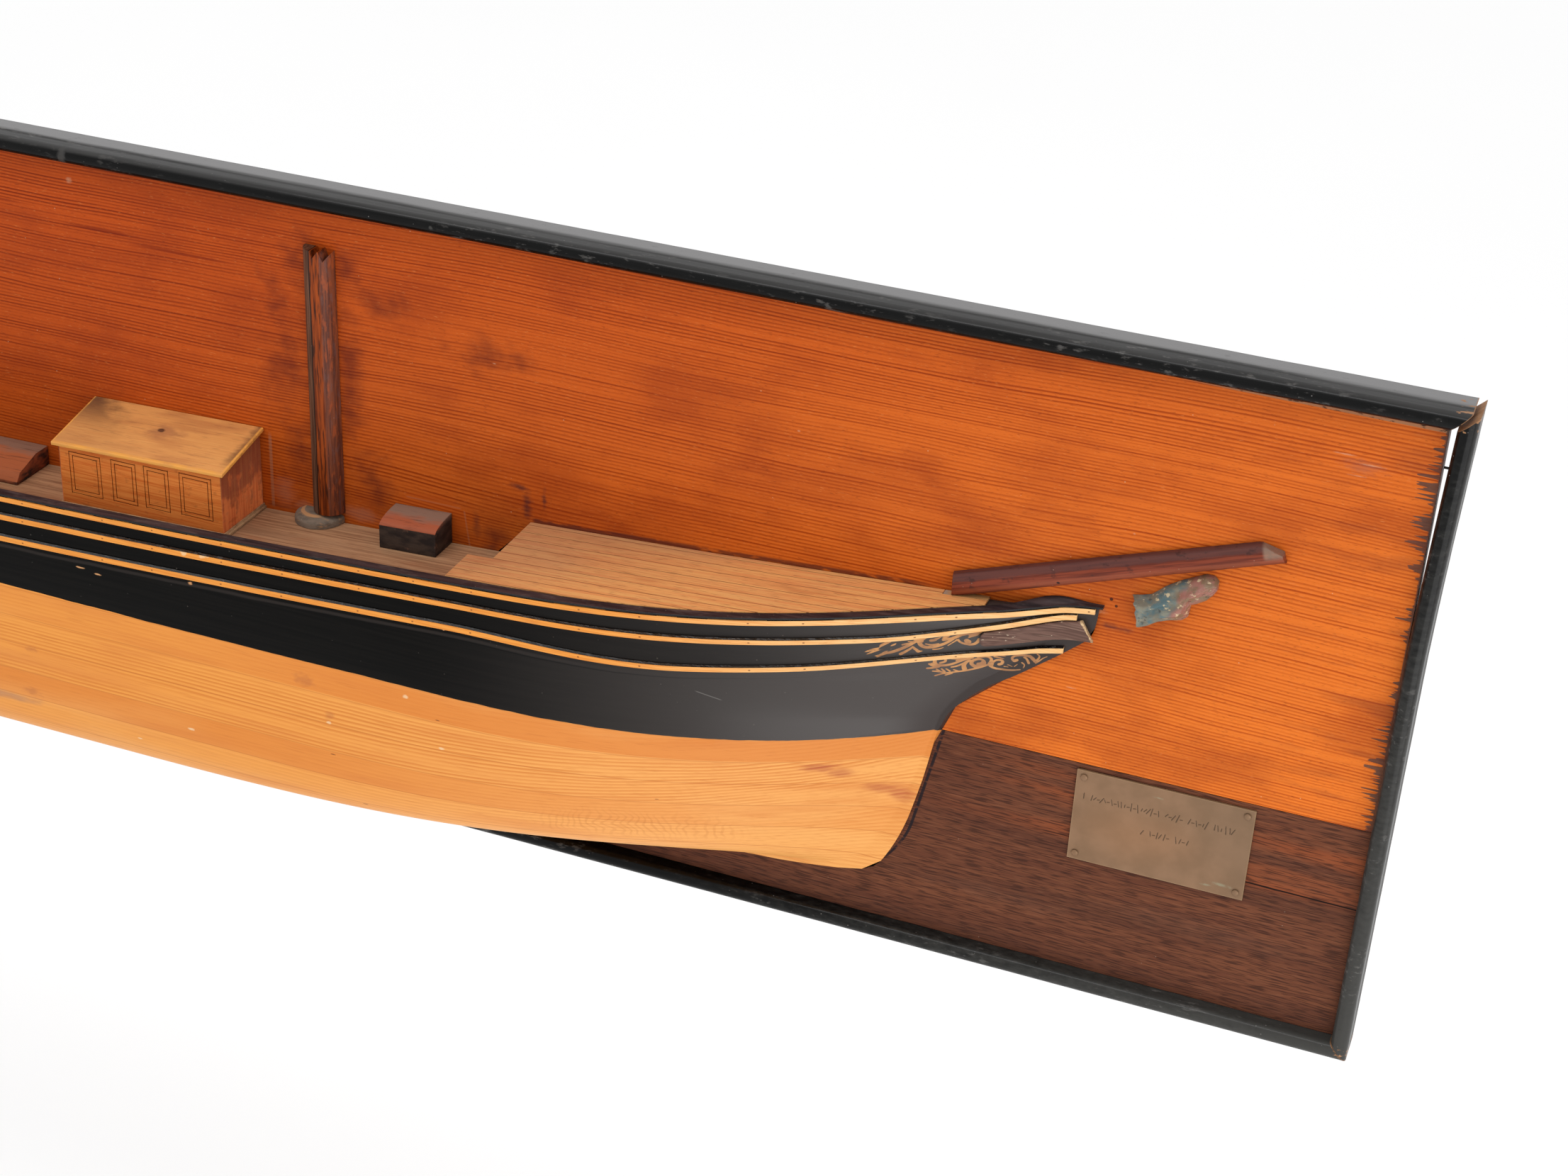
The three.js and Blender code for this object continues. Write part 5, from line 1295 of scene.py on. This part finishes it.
def deck_brown(name, plank_lines):
    c = Coat(name)
    tall = c.grain(60, 1.6, 20, 2, 0.6)
    fine = c.grain(7, 0.5, 6, 1, shift=3)
    light, dark = ((255, 188, 114), (246, 164, 98)) if plank_lines else ((200, 150, 110), (160, 114, 82))
    c.start(light, dark, c.ease(tall, 0.35, 0.65))
    if plank_lines:
        c.lay((168, 118, 92), c.fade(c.x - c.y * 1.5 + c.sway(90, 70, 30, 30, 1, shift=8), 500, 640) * 0.5)
    c.lay((128, 78, 52), c.ease(fine, 0.58, 0.7) * 0.4)
    dust_and_sheen = c.patches(0.42, 0.7, 50, 20, 20, 2, shift=6).above(c.fade(c.off, 14, 22))
    c.lay((196, 156, 120), dust_and_sheen * (0.12 if plank_lines else 0.3))
    rust = c.patches(0.55, 0.75, 34, 12, 20, 2, shift=2)
    c.lay((176, 96, 56), rust * 0.3)
    height = 0.6 * tall + 0.6 * fine
    if plank_lines:
        run = c.off - 14 + c.sway(1.2, 160, 90, 90, 1, shift=5)
        cut = c.band((run / 7.6).part(), 0.5, 0.014, 0.03)
        c.lay((110, 62, 40), cut * 0.75)
    c.lay((214, 190, 164), c.specks(3.5, 0.07, 0.3) * 0.45)
    return c.done(0.65, height, 0.09, specular=0.12)


def bare_wedge():
    c = Coat("bare_wedge")
    fine = c.grain(18, 1, 2, 3)
    c.start((226, 172, 112), (196, 138, 82), fine)
    glue = c.fade(c.x + c.sway(5, 3, 3, 3, 3), 662, 665.5)
    c.lay((170, 160, 150), glue * 0.7)
    return c.done(0.6, fine + glue * 0.6, 0.08)


def house_wood(name, roof):
    c = Coat(name)
    fine = c.grain(26, *((0.8, 3) if roof else (3, 0.7)), 2, 0.6)
    if roof:
        c.start((255, 186, 108), (230, 150, 84), fine)
        cloud = c.grain(14, 7, 7, 4, 0.6, 4)
        c.lay((190, 116, 70), c.patches(0.5, 0.72, 40, 9, 9, 2, shift=2) * 0.45)
        back = c.fade(c.x + c.y * 0.9 + (cloud - 0.5) * 40, 186, 212)
        dark_patches = back * (1 - c.ease(c.off, 16, 44) * 0.85)
        dark_patches = dark_patches.above(c.ease(c.x + (cloud - 0.5) * 12, 295, 301) * c.fade(c.off, 40, 52) * 0.8)
        c.lay((88, 54, 44), dark_patches * 0.85)
        c.lay((156, 92, 70), c.spots([(254, -32, 15, 7)], 0.7, (7, 4, 4), 0.1, True) * 0.5)
        c.lay((66, 36, 34), c.spots([(252, -31, 2.4, 1.6)], 0.5, (3, 3, 3), 0.5, True) * 0.85)
        rim = c.ease(c.off, 52.6, 53.7).above(c.ease(c.x, 299.8, 300.6)).above(c.fade(c.x, 202.8, 203.6))
        c.lay((156, 98, 64), c.patches(0.54, 0.68, 14, 1.2, 6, 3, 0.65, 12) * 0.35)
        c.lay((255, 178, 84), rim * (0.5 + 0.5 * c.ease(cloud, 0.4, 0.6)))
    else:
        end = c.ease(c.x, 298.2, 298.6).above(c.fade(c.x, 205.0, 205.4))
        front = c.mix((255, 152, 72), (232, 118, 48), c.ease(fine, 0.35, 0.7))
        front = c.mix(front, (196, 98, 42), c.fade(c.z - c.x * 0.016, -12.5, -5) * 0.4)
        blotches = c.grain(6, 6, 3, 3, 0.6, 8)
        side = c.mix((255, 146, 82), (234, 118, 66), c.patches(0.34, 0.66, 6, 1.6, 22, 2, shift=5))
        # The end faces, darker in patches and towards the top
        side = c.mix(side, (120, 62, 46), c.ease(c.z + (blotches - 0.5) * 20, 4, 16) * 0.3)
        side = c.mix(side, (170, 112, 84), c.fade(blotches, 0.34, 0.46) * 0.2)
        end_darkening = c.grain(10, 8, 12, 3, 0.6, 9) + (c.z - 6) * 0.012
        side = c.mix(side, (108, 60, 52), c.ease(end_darkening, 0.46, 0.62) * 0.5)
        c.start(front, side, end)
        c.lay((140, 72, 40), c.ease(blotches, 0.56, 0.7) * 0.3)
        # The engraved panel lines, painted dark in their bottoms as painted shade
        groove_shade = c.fade(c.off, 51.45, 51.9) * c.ease(c.off, 51.0, 51.3) * (1 - end)
        c.lay((60, 30, 18), groove_shade * 0.9)
    return c.done(0.55, fine, 0.08, coat=0.02, coat_rough=0.3, specular=0.14)


def worn_grey(name, light, dark, warm):
    c = Coat(name)
    rub = c.grain(9, 5, 3, 4, 0.62)
    fine = c.grain(16, 1.2, 0.9, 2, shift=4)
    c.start(light, dark, c.ease(rub, 0.35, 0.65))
    c.lay(warm, c.ease(fine * 0.5 + rub * 0.5, 0.52, 0.62) * 0.6)
    grit = c.specks(2.6, 0.1, 0.3)
    c.lay((190, 176, 160), grit * 0.5)
    # A tan crescent on the coat's rounded rim left of the mast: bare wear, with a painted highlight
    from_middle = ((c.x - (FOREMAST - 5.5)) ** 2 + (c.y - FACE) ** 2) ** 0.5
    crescent_wear_and_highlight = c.band(from_middle + (rub - 0.5) * 1.2, 9.2, 0.8, 0.4) * c.fade(c.x, 334, 340)
    c.lay((206, 150, 102), crescent_wear_and_highlight * 0.8)
    return c.done(0.7, rub + 0.6 * fine, 0.1, specular=0.12)


def mast_wood(name, centres):
    """Three planed faces: weathered grey-brown aft, orange-brown in the middle, purple-brown forward."""
    c = Coat(name)
    side = None
    for centre, scale in centres:
        near = (c.x - centre) / (MAST_RADIUS * scale)
        side = near if side is None else c.node("Mix", {}, {0: c.band(near, 0, 1.5, 0.1), 2: side, 3: near})
    tall = c.grain(0.8, 3, 30, 2, 0.6)
    streak = c.patches(0.52, 0.64, 1.1, 2, 16, 2, 0.62, 6)
    blotch = c.grain(3, 3, 10, 4, 0.6, 3)
    middle = c.mix((166, 74, 22), (108, 42, 10), c.ease(tall, 0.35, 0.65))
    middle = c.mix(middle, (36, 20, 14), streak * 0.8)
    fore = c.mix((136, 72, 46), (98, 52, 38), c.ease(tall, 0.4, 0.6))
    fore = c.mix(fore, (112, 84, 82), c.ease(blotch, 0.52, 0.66) * 0.5)
    fore = c.mix(fore, (176, 84, 42), c.fade(blotch, 0.36, 0.46) * 0.6)
    aft = c.mix((120, 82, 62), (84, 52, 36), c.ease(tall, 0.35, 0.65))
    wobble = c.sway(0.1, 6, 6, 14, 1, shift=2)
    c.start(aft, (40, 22, 14), c.ease(side + wobble, -0.3, -0.26))
    c.lay(middle, c.ease(side + wobble, -0.22, -0.16))
    c.lay(fore, c.ease(side + wobble, 0.34, 0.46))
    c.lay((196, 176, 160), c.specks(3, 0.08, 0.2) * 0.45)
    return c.done(0.5, tall + 0.6 * streak, 0.1, coat=0.04, coat_rough=0.25, specular=0.14)


def dark_spar(name, light, dark, top):
    """Its grain runs along the spar, which rises forward."""
    c = Coat(name)
    along = c.node("Mapping", {}, {"Vector": c.place, "Rotation": (0, math.atan(SPAR_RISE), 0),
                                   "Scale": (1 / MM,) * 3})
    scale = (1 / 30, 1 / 2.2, 1 / 1.1)
    turned = c.node("VectorMath", {"operation": "MULTIPLY"}, {0: along, 1: scale}, "Vector")
    tall = c.node("TexNoise", {}, {"Vector": turned, "Scale": 1.0, "Detail": 3.0, "Roughness": 0.6})
    c.start(light, dark, c.ease(tall, 0.38, 0.62))
    drop = c.z - HEEL - (c.x - STEM_FOOT) * SPAR_RISE
    pits = c.grain(6, 4, 4, 3, 0.6, 7)
    c.lay(top, c.ease(drop + (pits - 0.5) * 2.0, 1.2, 2.6) * 0.75)
    c.lay((60, 34, 30), c.ease(pits, 0.58, 0.7) * 0.6)
    # A lighter reddish band low on the spar: a painted highlight
    lower_highlight = c.band(drop, -3.4, 0.8, 1.4)
    c.lay((180, 96, 62), lower_highlight * 0.35)
    cut = c.ease(c.x - STEM_FOOT + (c.z - HEEL) * 0.35, 155.5, 157.5) * c.ease(drop, -3.5, 0)
    c.lay((164, 138, 118), cut * 0.6)
    c.lay((30, 18, 16), c.spots([(714.6, 50.5, 0.9, 0.9)], 0.2, (3, 3, 3), 0.6) * 0.9)
    c.lay((196, 164, 142), c.specks(4, 0.08, 0.3) * 0.45)
    return c.done(0.5, tall - pits, 0.1, coat=0.03, coat_rough=0.25, specular=0.14)


def hatch_wood(name, roof_light, roof_dark, body, lip_y, level):
    """A block painted round its sides, its top worn back to bare wood that darkens from lip_y off."""
    c = Coat(name)
    fine = c.grain(24, 1.2, 1.2, 3, 0.6)
    top = c.mix(roof_light, roof_dark, c.ease(c.off + c.sway(10, 12, 4, 4, 3), lip_y - 2, lip_y + 5))
    top = c.mix(top, (60, 36, 30), c.ease(fine, 0.55, 0.72) * 0.5)
    side = c.mix(body, (52, 44, 42), c.patches(0.35, 0.65, 8, 8, 3, 3, shift=4))
    side = c.mix(side, (128, 92, 76), c.patches(0.62, 0.7, 5, 5, 5, 3, 0.65, 7) * 0.45)
    c.start(side, top, c.ease(c.facing()[2], level, level + 0.12))
    return c.done(0.6, fine, 0.1, coat=0.02, coat_rough=0.3, specular=0.14)


def chipped_purple():
    c = Coat("chipped_purple")
    brushed = c.grain(24, 3, 1.1, 2)
    c.start((120, 90, 79), (96, 70, 61), c.ease(brushed, 0.35, 0.65))
    lines = c.patches(0.60, 0.66, 34, 6, 0.7, 1, 0.6, 3)
    c.lay((176, 146, 126), lines * 0.35)
    tatter = c.grain(4, 3, 1.6, 3, 0.65, 5)
    chip = c.specks(6, 0.12, 0.4).above(c.ease(tatter, 0.69, 0.72))
    c.lay((232, 210, 184), chip * 0.8)
    end = c.ease(c.x + (c.z - 23) * 0.6 + (tatter - 0.5) * 1.6 + c.ease(c.z, 28, 32) * 0.9, 732.5, 732.9)
    c.lay(c.mix((240, 210, 164), (180, 136, 96), c.grain(2, 2, 1, 1)), end)
    rim = c.fade(c.x, 683.2, 685)
    c.lay((60, 46, 46), rim * 0.5)
    return c.done(0.6, brushed + chip - 0.8 * lines, 0.09, specular=0.12)


def painted_drapery():
    c = Coat("painted_drapery")
    rub = c.grain(5, 4, 4, 3, 0.62)
    cloth = c.mix((90, 114, 118), (128, 122, 106), c.ease(rub, 0.35, 0.65))
    cloth = c.mix(cloth, (166, 158, 134), c.patches(0.52, 0.7, 7, 5, 5, 2, shift=3) * 0.5)
    tatter = c.grain(4, 3, 2.6, 3, 0.6, 6)
    rosy = c.mix((166, 112, 98), (136, 110, 84), c.ease(rub, 0.4, 0.62))
    rosy = c.mix(rosy, (200, 166, 144), c.ease(tatter, 0.56, 0.68) * 0.5)
    along = c.x - STEM_FOOT + (c.z - 40) * -0.25 + c.sway(7, 9, 6, 6, 1, shift=8)
    c.start(cloth, rosy, c.ease(along, 100, 103))
    c.lay((224, 200, 158), c.ease(tatter, 0.6, 0.66) * 0.75)
    c.lay((56, 50, 48), c.fade(tatter, 0.30, 0.38) * 0.6)
    torn = c.fade(c.x - STEM_FOOT - (36 - c.z) * 0.25 + (tatter - 0.5) * 3, 85.6, 87.0)
    c.lay((230, 212, 182), torn * 0.85)
    return c.done(0.42 + 0.2 * rub, rub + 0.6 * tatter, 0.16, coat=0.12, coat_rough=0.2, specular=0.2)


def old_brass():
    c = Coat("old_brass")
    mottle = c.grain(16, 16, 16, 3, 0.6)
    c.start((152, 118, 90), (138, 107, 80), c.ease(mottle, 0.3, 0.7))
    middle = c.spots([(765, -76, 36, 20)], 0.3, (30, 30, 30), 0.0)
    c.lay((168, 122, 86), middle * 0.4)
    c.lay((124, 102, 80), c.ease(c.x + c.z * 0.4, 755, 790) * 0.35)
    green = c.spots([(807, -91, 6, 1.1), (800, -93, 3, 0.8), (772, -52, 3, 0.6)], 1.0, (3, 3, 2), 0.0)
    c.lay((168, 168, 140), green * 0.5)
    wipe = c.grain(60, 9, 1.1, 1, shift=6)
    c.lay((70, 54, 38), c.attribute("stroke") * 0.8)
    # A lighter rim round the plate's edges: a painted highlight
    ends = c.fade(c.x, 733, 733.6).above(c.ease(c.x, 817.4, 818))
    rim = ends.above(c.ease(c.z, -47.4, -46.9)).above(c.fade(c.z, -96.7, -96.2))
    c.lay((180, 150, 112), rim * 0.35)
    return c.done(0.45 + 0.2 * green, wipe * 0.3, 0.03, metal=0.35, specular=0.2)


def plain_steel():
    c = Coat("dull_steel")
    spot = c.grain(1.5, 1.5, 1.5, 3)
    c.start((96, 88, 82), (60, 50, 46), spot)
    return c.done(0.5, spot, 0.05, metal=0.7)


def pale_floor():
    c = Coat("pale_floor")
    cloud = c.grain(900, 900, 900, 2)
    pale, paler = ((share, share, share, 1.0) for share in (0.96, 0.98))
    c.colour = c.node("Mix", {"data_type": "RGBA"}, {0: cloud, 6: pale, 7: paler}, 2)
    return c.done(0.9, cloud, 0.1, specular=0.0)


pine = varnished_pine()
walnut = dark_board()
frame_finish = black_frame()
hull_finish = hull_coats()
cream = batten_face()
ledge = batten_black()
rail_finish = rail_black()
open_deck = deck_brown("open_deck", False)
planked_deck = deck_brown("planked_deck", True)
pale = bare_wedge()
roof_finish = house_wood("house_roof_wood", True)
house_finish = house_wood("house_front_wood", False)
foot_finish = worn_grey("foot_grey", (206, 166, 124), (160, 122, 88), (220, 180, 136))
coat_finish = worn_grey("coat_grey", (140, 122, 106), (112, 98, 86), (186, 140, 100))
mast_finish = mast_wood("mast_wood", [(FOREMAST, 1), (MAIN_MAST, 1), (MIZZEN, 0.86)])
spar_finish = dark_spar("bowsprit_wood", (136, 62, 40), (100, 42, 28), (92, 58, 54))
companion_finish = hatch_wood("companion_wood", (152, 118, 100), (184, 98, 66), (80, 66, 58), 24, 0.12)
skylight_finish = hatch_wood("skylight_wood", (152, 112, 92), (184, 100, 60), (168, 92, 60), 24, 0.3)
hatch_finish = hatch_wood("main_hatch_wood", (136, 96, 78), (160, 86, 56), (120, 64, 42), 30, 0.6)
purple = chipped_purple()
drapery = painted_drapery()
brass = old_brass()
steel = plain_steel()


# ---------------------------------------------------------------- putting it together

def keep(node, finish):
    """Gives a flat node of the CAD model its finish."""
    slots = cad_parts[node].data.materials
    slots.clear()
    slots.append(finish)


make_camera()
piece("half_hull", hull_mesh(), ["hull"], [hull_finish],
      marks={"scroll": scroll_reach,
             "seam": lambda p: p.z - batten_top(p.x, BATTENS["lower_batten"]) + 7})
piece("rail_cap", cap_rail_mesh(), ["cap_rail"], [rail_finish],
      marks={"edge": lambda p: clamp01(1 - (rail_breadth(p.x) + 2 + p.y - FACE) / 1.2)})
for name, rule in BATTENS.items():
    piece(name + "_strip", batten_mesh(rule), [name], [cream, ledge], 40,
          marks={"rise": lambda p, rule=rule: (p.z - batten_top(p.x, rule) + BATTEN_HIGH) / BATTEN_HIGH})

# How long each runs, its steps along, and where a point at a place along, a depth and a distance out goes
mouldings = {
    "top_moulding": (2 * BOARD_RIGHT, 420, lambda a, y, out: Vector((a, y, BOARD_TOP + out))),
    "bottom_moulding": (2 * BOARD_RIGHT, 420, lambda a, y, out: Vector((a, y, -BOARD_TOP - out))),
    "bow_end_moulding": (2 * BOARD_TOP, 110,
                         lambda a, y, out: Vector((BOARD_RIGHT + out + spring_out(a), y, a))),
    "stern_end_moulding": (2 * BOARD_TOP, 110, lambda a, y, out: Vector((-BOARD_RIGHT - out, y, a))),
}
for seed, (name, (run, count, place_at)) in enumerate(mouldings.items()):
    piece(name + "_length", moulding_mesh(run, count, place_at, seed), [name], [frame_finish])

piece("house_body", eased("deckhouse", 0.12, 1, 0.03), ["deckhouse"], [house_finish])
piece("house_roof", eased("deckhouse_roof", 0.4, 3, 0.05), ["deckhouse_roof"], [roof_finish])
piece("house_foot", eased("deckhouse_base", 0.25, 2, 0.05), ["deckhouse_base"], [foot_finish])
piece("skylight_block", skylight_mesh(), ["skylight"], [skylight_finish])
piece("companion_block", companion_mesh(), ["companion_hatch"], [companion_finish])
piece("hatch_block", main_hatch_mesh(), ["main_hatch"], [hatch_finish])
for name, centre, top, scale in (("foremast", FOREMAST, 140.5, 1), ("main_mast", MAIN_MAST, 140.5, 1),
                                 ("mizzen_mast", MIZZEN, 114.7, 0.86)):
    piece(name + "_stub", mast_mesh(centre, top, scale), [name], [mast_finish])
    piece(name + "_foot", coat_mesh(centre, scale), [name + "_coat"], [coat_finish])
piece("bowsprit_stub", bowsprit_mesh(), ["bowsprit"], [spar_finish])
piece("trail_stub", trail_mesh(), ["trail_board"], [purple])
piece("figure_fragment", figure_mesh(), ["figurehead"], [drapery])
piece("rudder_blade", rudder_mesh(), ["rudder"], [hull_finish],
      marks={"scroll": lambda p: CLEAR, "seam": lambda p: 9.0})
piece("brass_plate", plate_mesh(), ["name_plate"], [brass],
      marks={"stroke": lambda p: plate_cut(p.x, p.z) if p.y < FACE - GAP - 0.5 else 0.0})
for n, (x, z) in enumerate(PINS, 1):
    piece(f"brass_pin_{n}", pin_mesh(x, z), [f"plate_pin_{n}"], [brass],
          marks={"stroke": lambda p: 0.0})

for node, finish in {"upper_board": pine, "lower_board": walnut, "main_deck": open_deck,
                     "poop_deck": planked_deck, "forecastle_deck": planked_deck, "deck_insert": pale,
                     "frame_nail": steel}.items():
    keep(node, finish)

# Pale floor well below the piece, which hangs clear of it
floor_mesh = bmesh.new()
bmesh.ops.create_grid(floor_mesh, x_segments=2, y_segments=2, size=12)
bmesh.ops.translate(floor_mesh, vec=(0, 0, -0.9), verts=floor_mesh.verts)
floor_data = bpy.data.meshes.new("floor")
floor_mesh.to_mesh(floor_data)
floor_mesh.free()
floor = bpy.data.objects.new("floor", floor_data)
bpy.context.scene.collection.objects.link(floor)
floor_data.materials.append(pale_floor())

world = bpy.data.worlds.new("studio")
bpy.context.scene.world = world
world.use_nodes = True
world.node_tree.nodes["Background"].inputs["Color"].default_value = (1, 1, 1, 1)
world.node_tree.nodes["Background"].inputs["Strength"].default_value = 1.0
soft_box("overhead", (0.2, -0.9, 1.9), (0.4, -0.1, 0), (1.8, 0.35), 14)
soft_box("low_right", (1.55, -0.95, -0.3), (0.55, 0, -0.05), (1.2, 0.9), 9)
bpy.context.scene.view_settings.view_transform = "Standard"
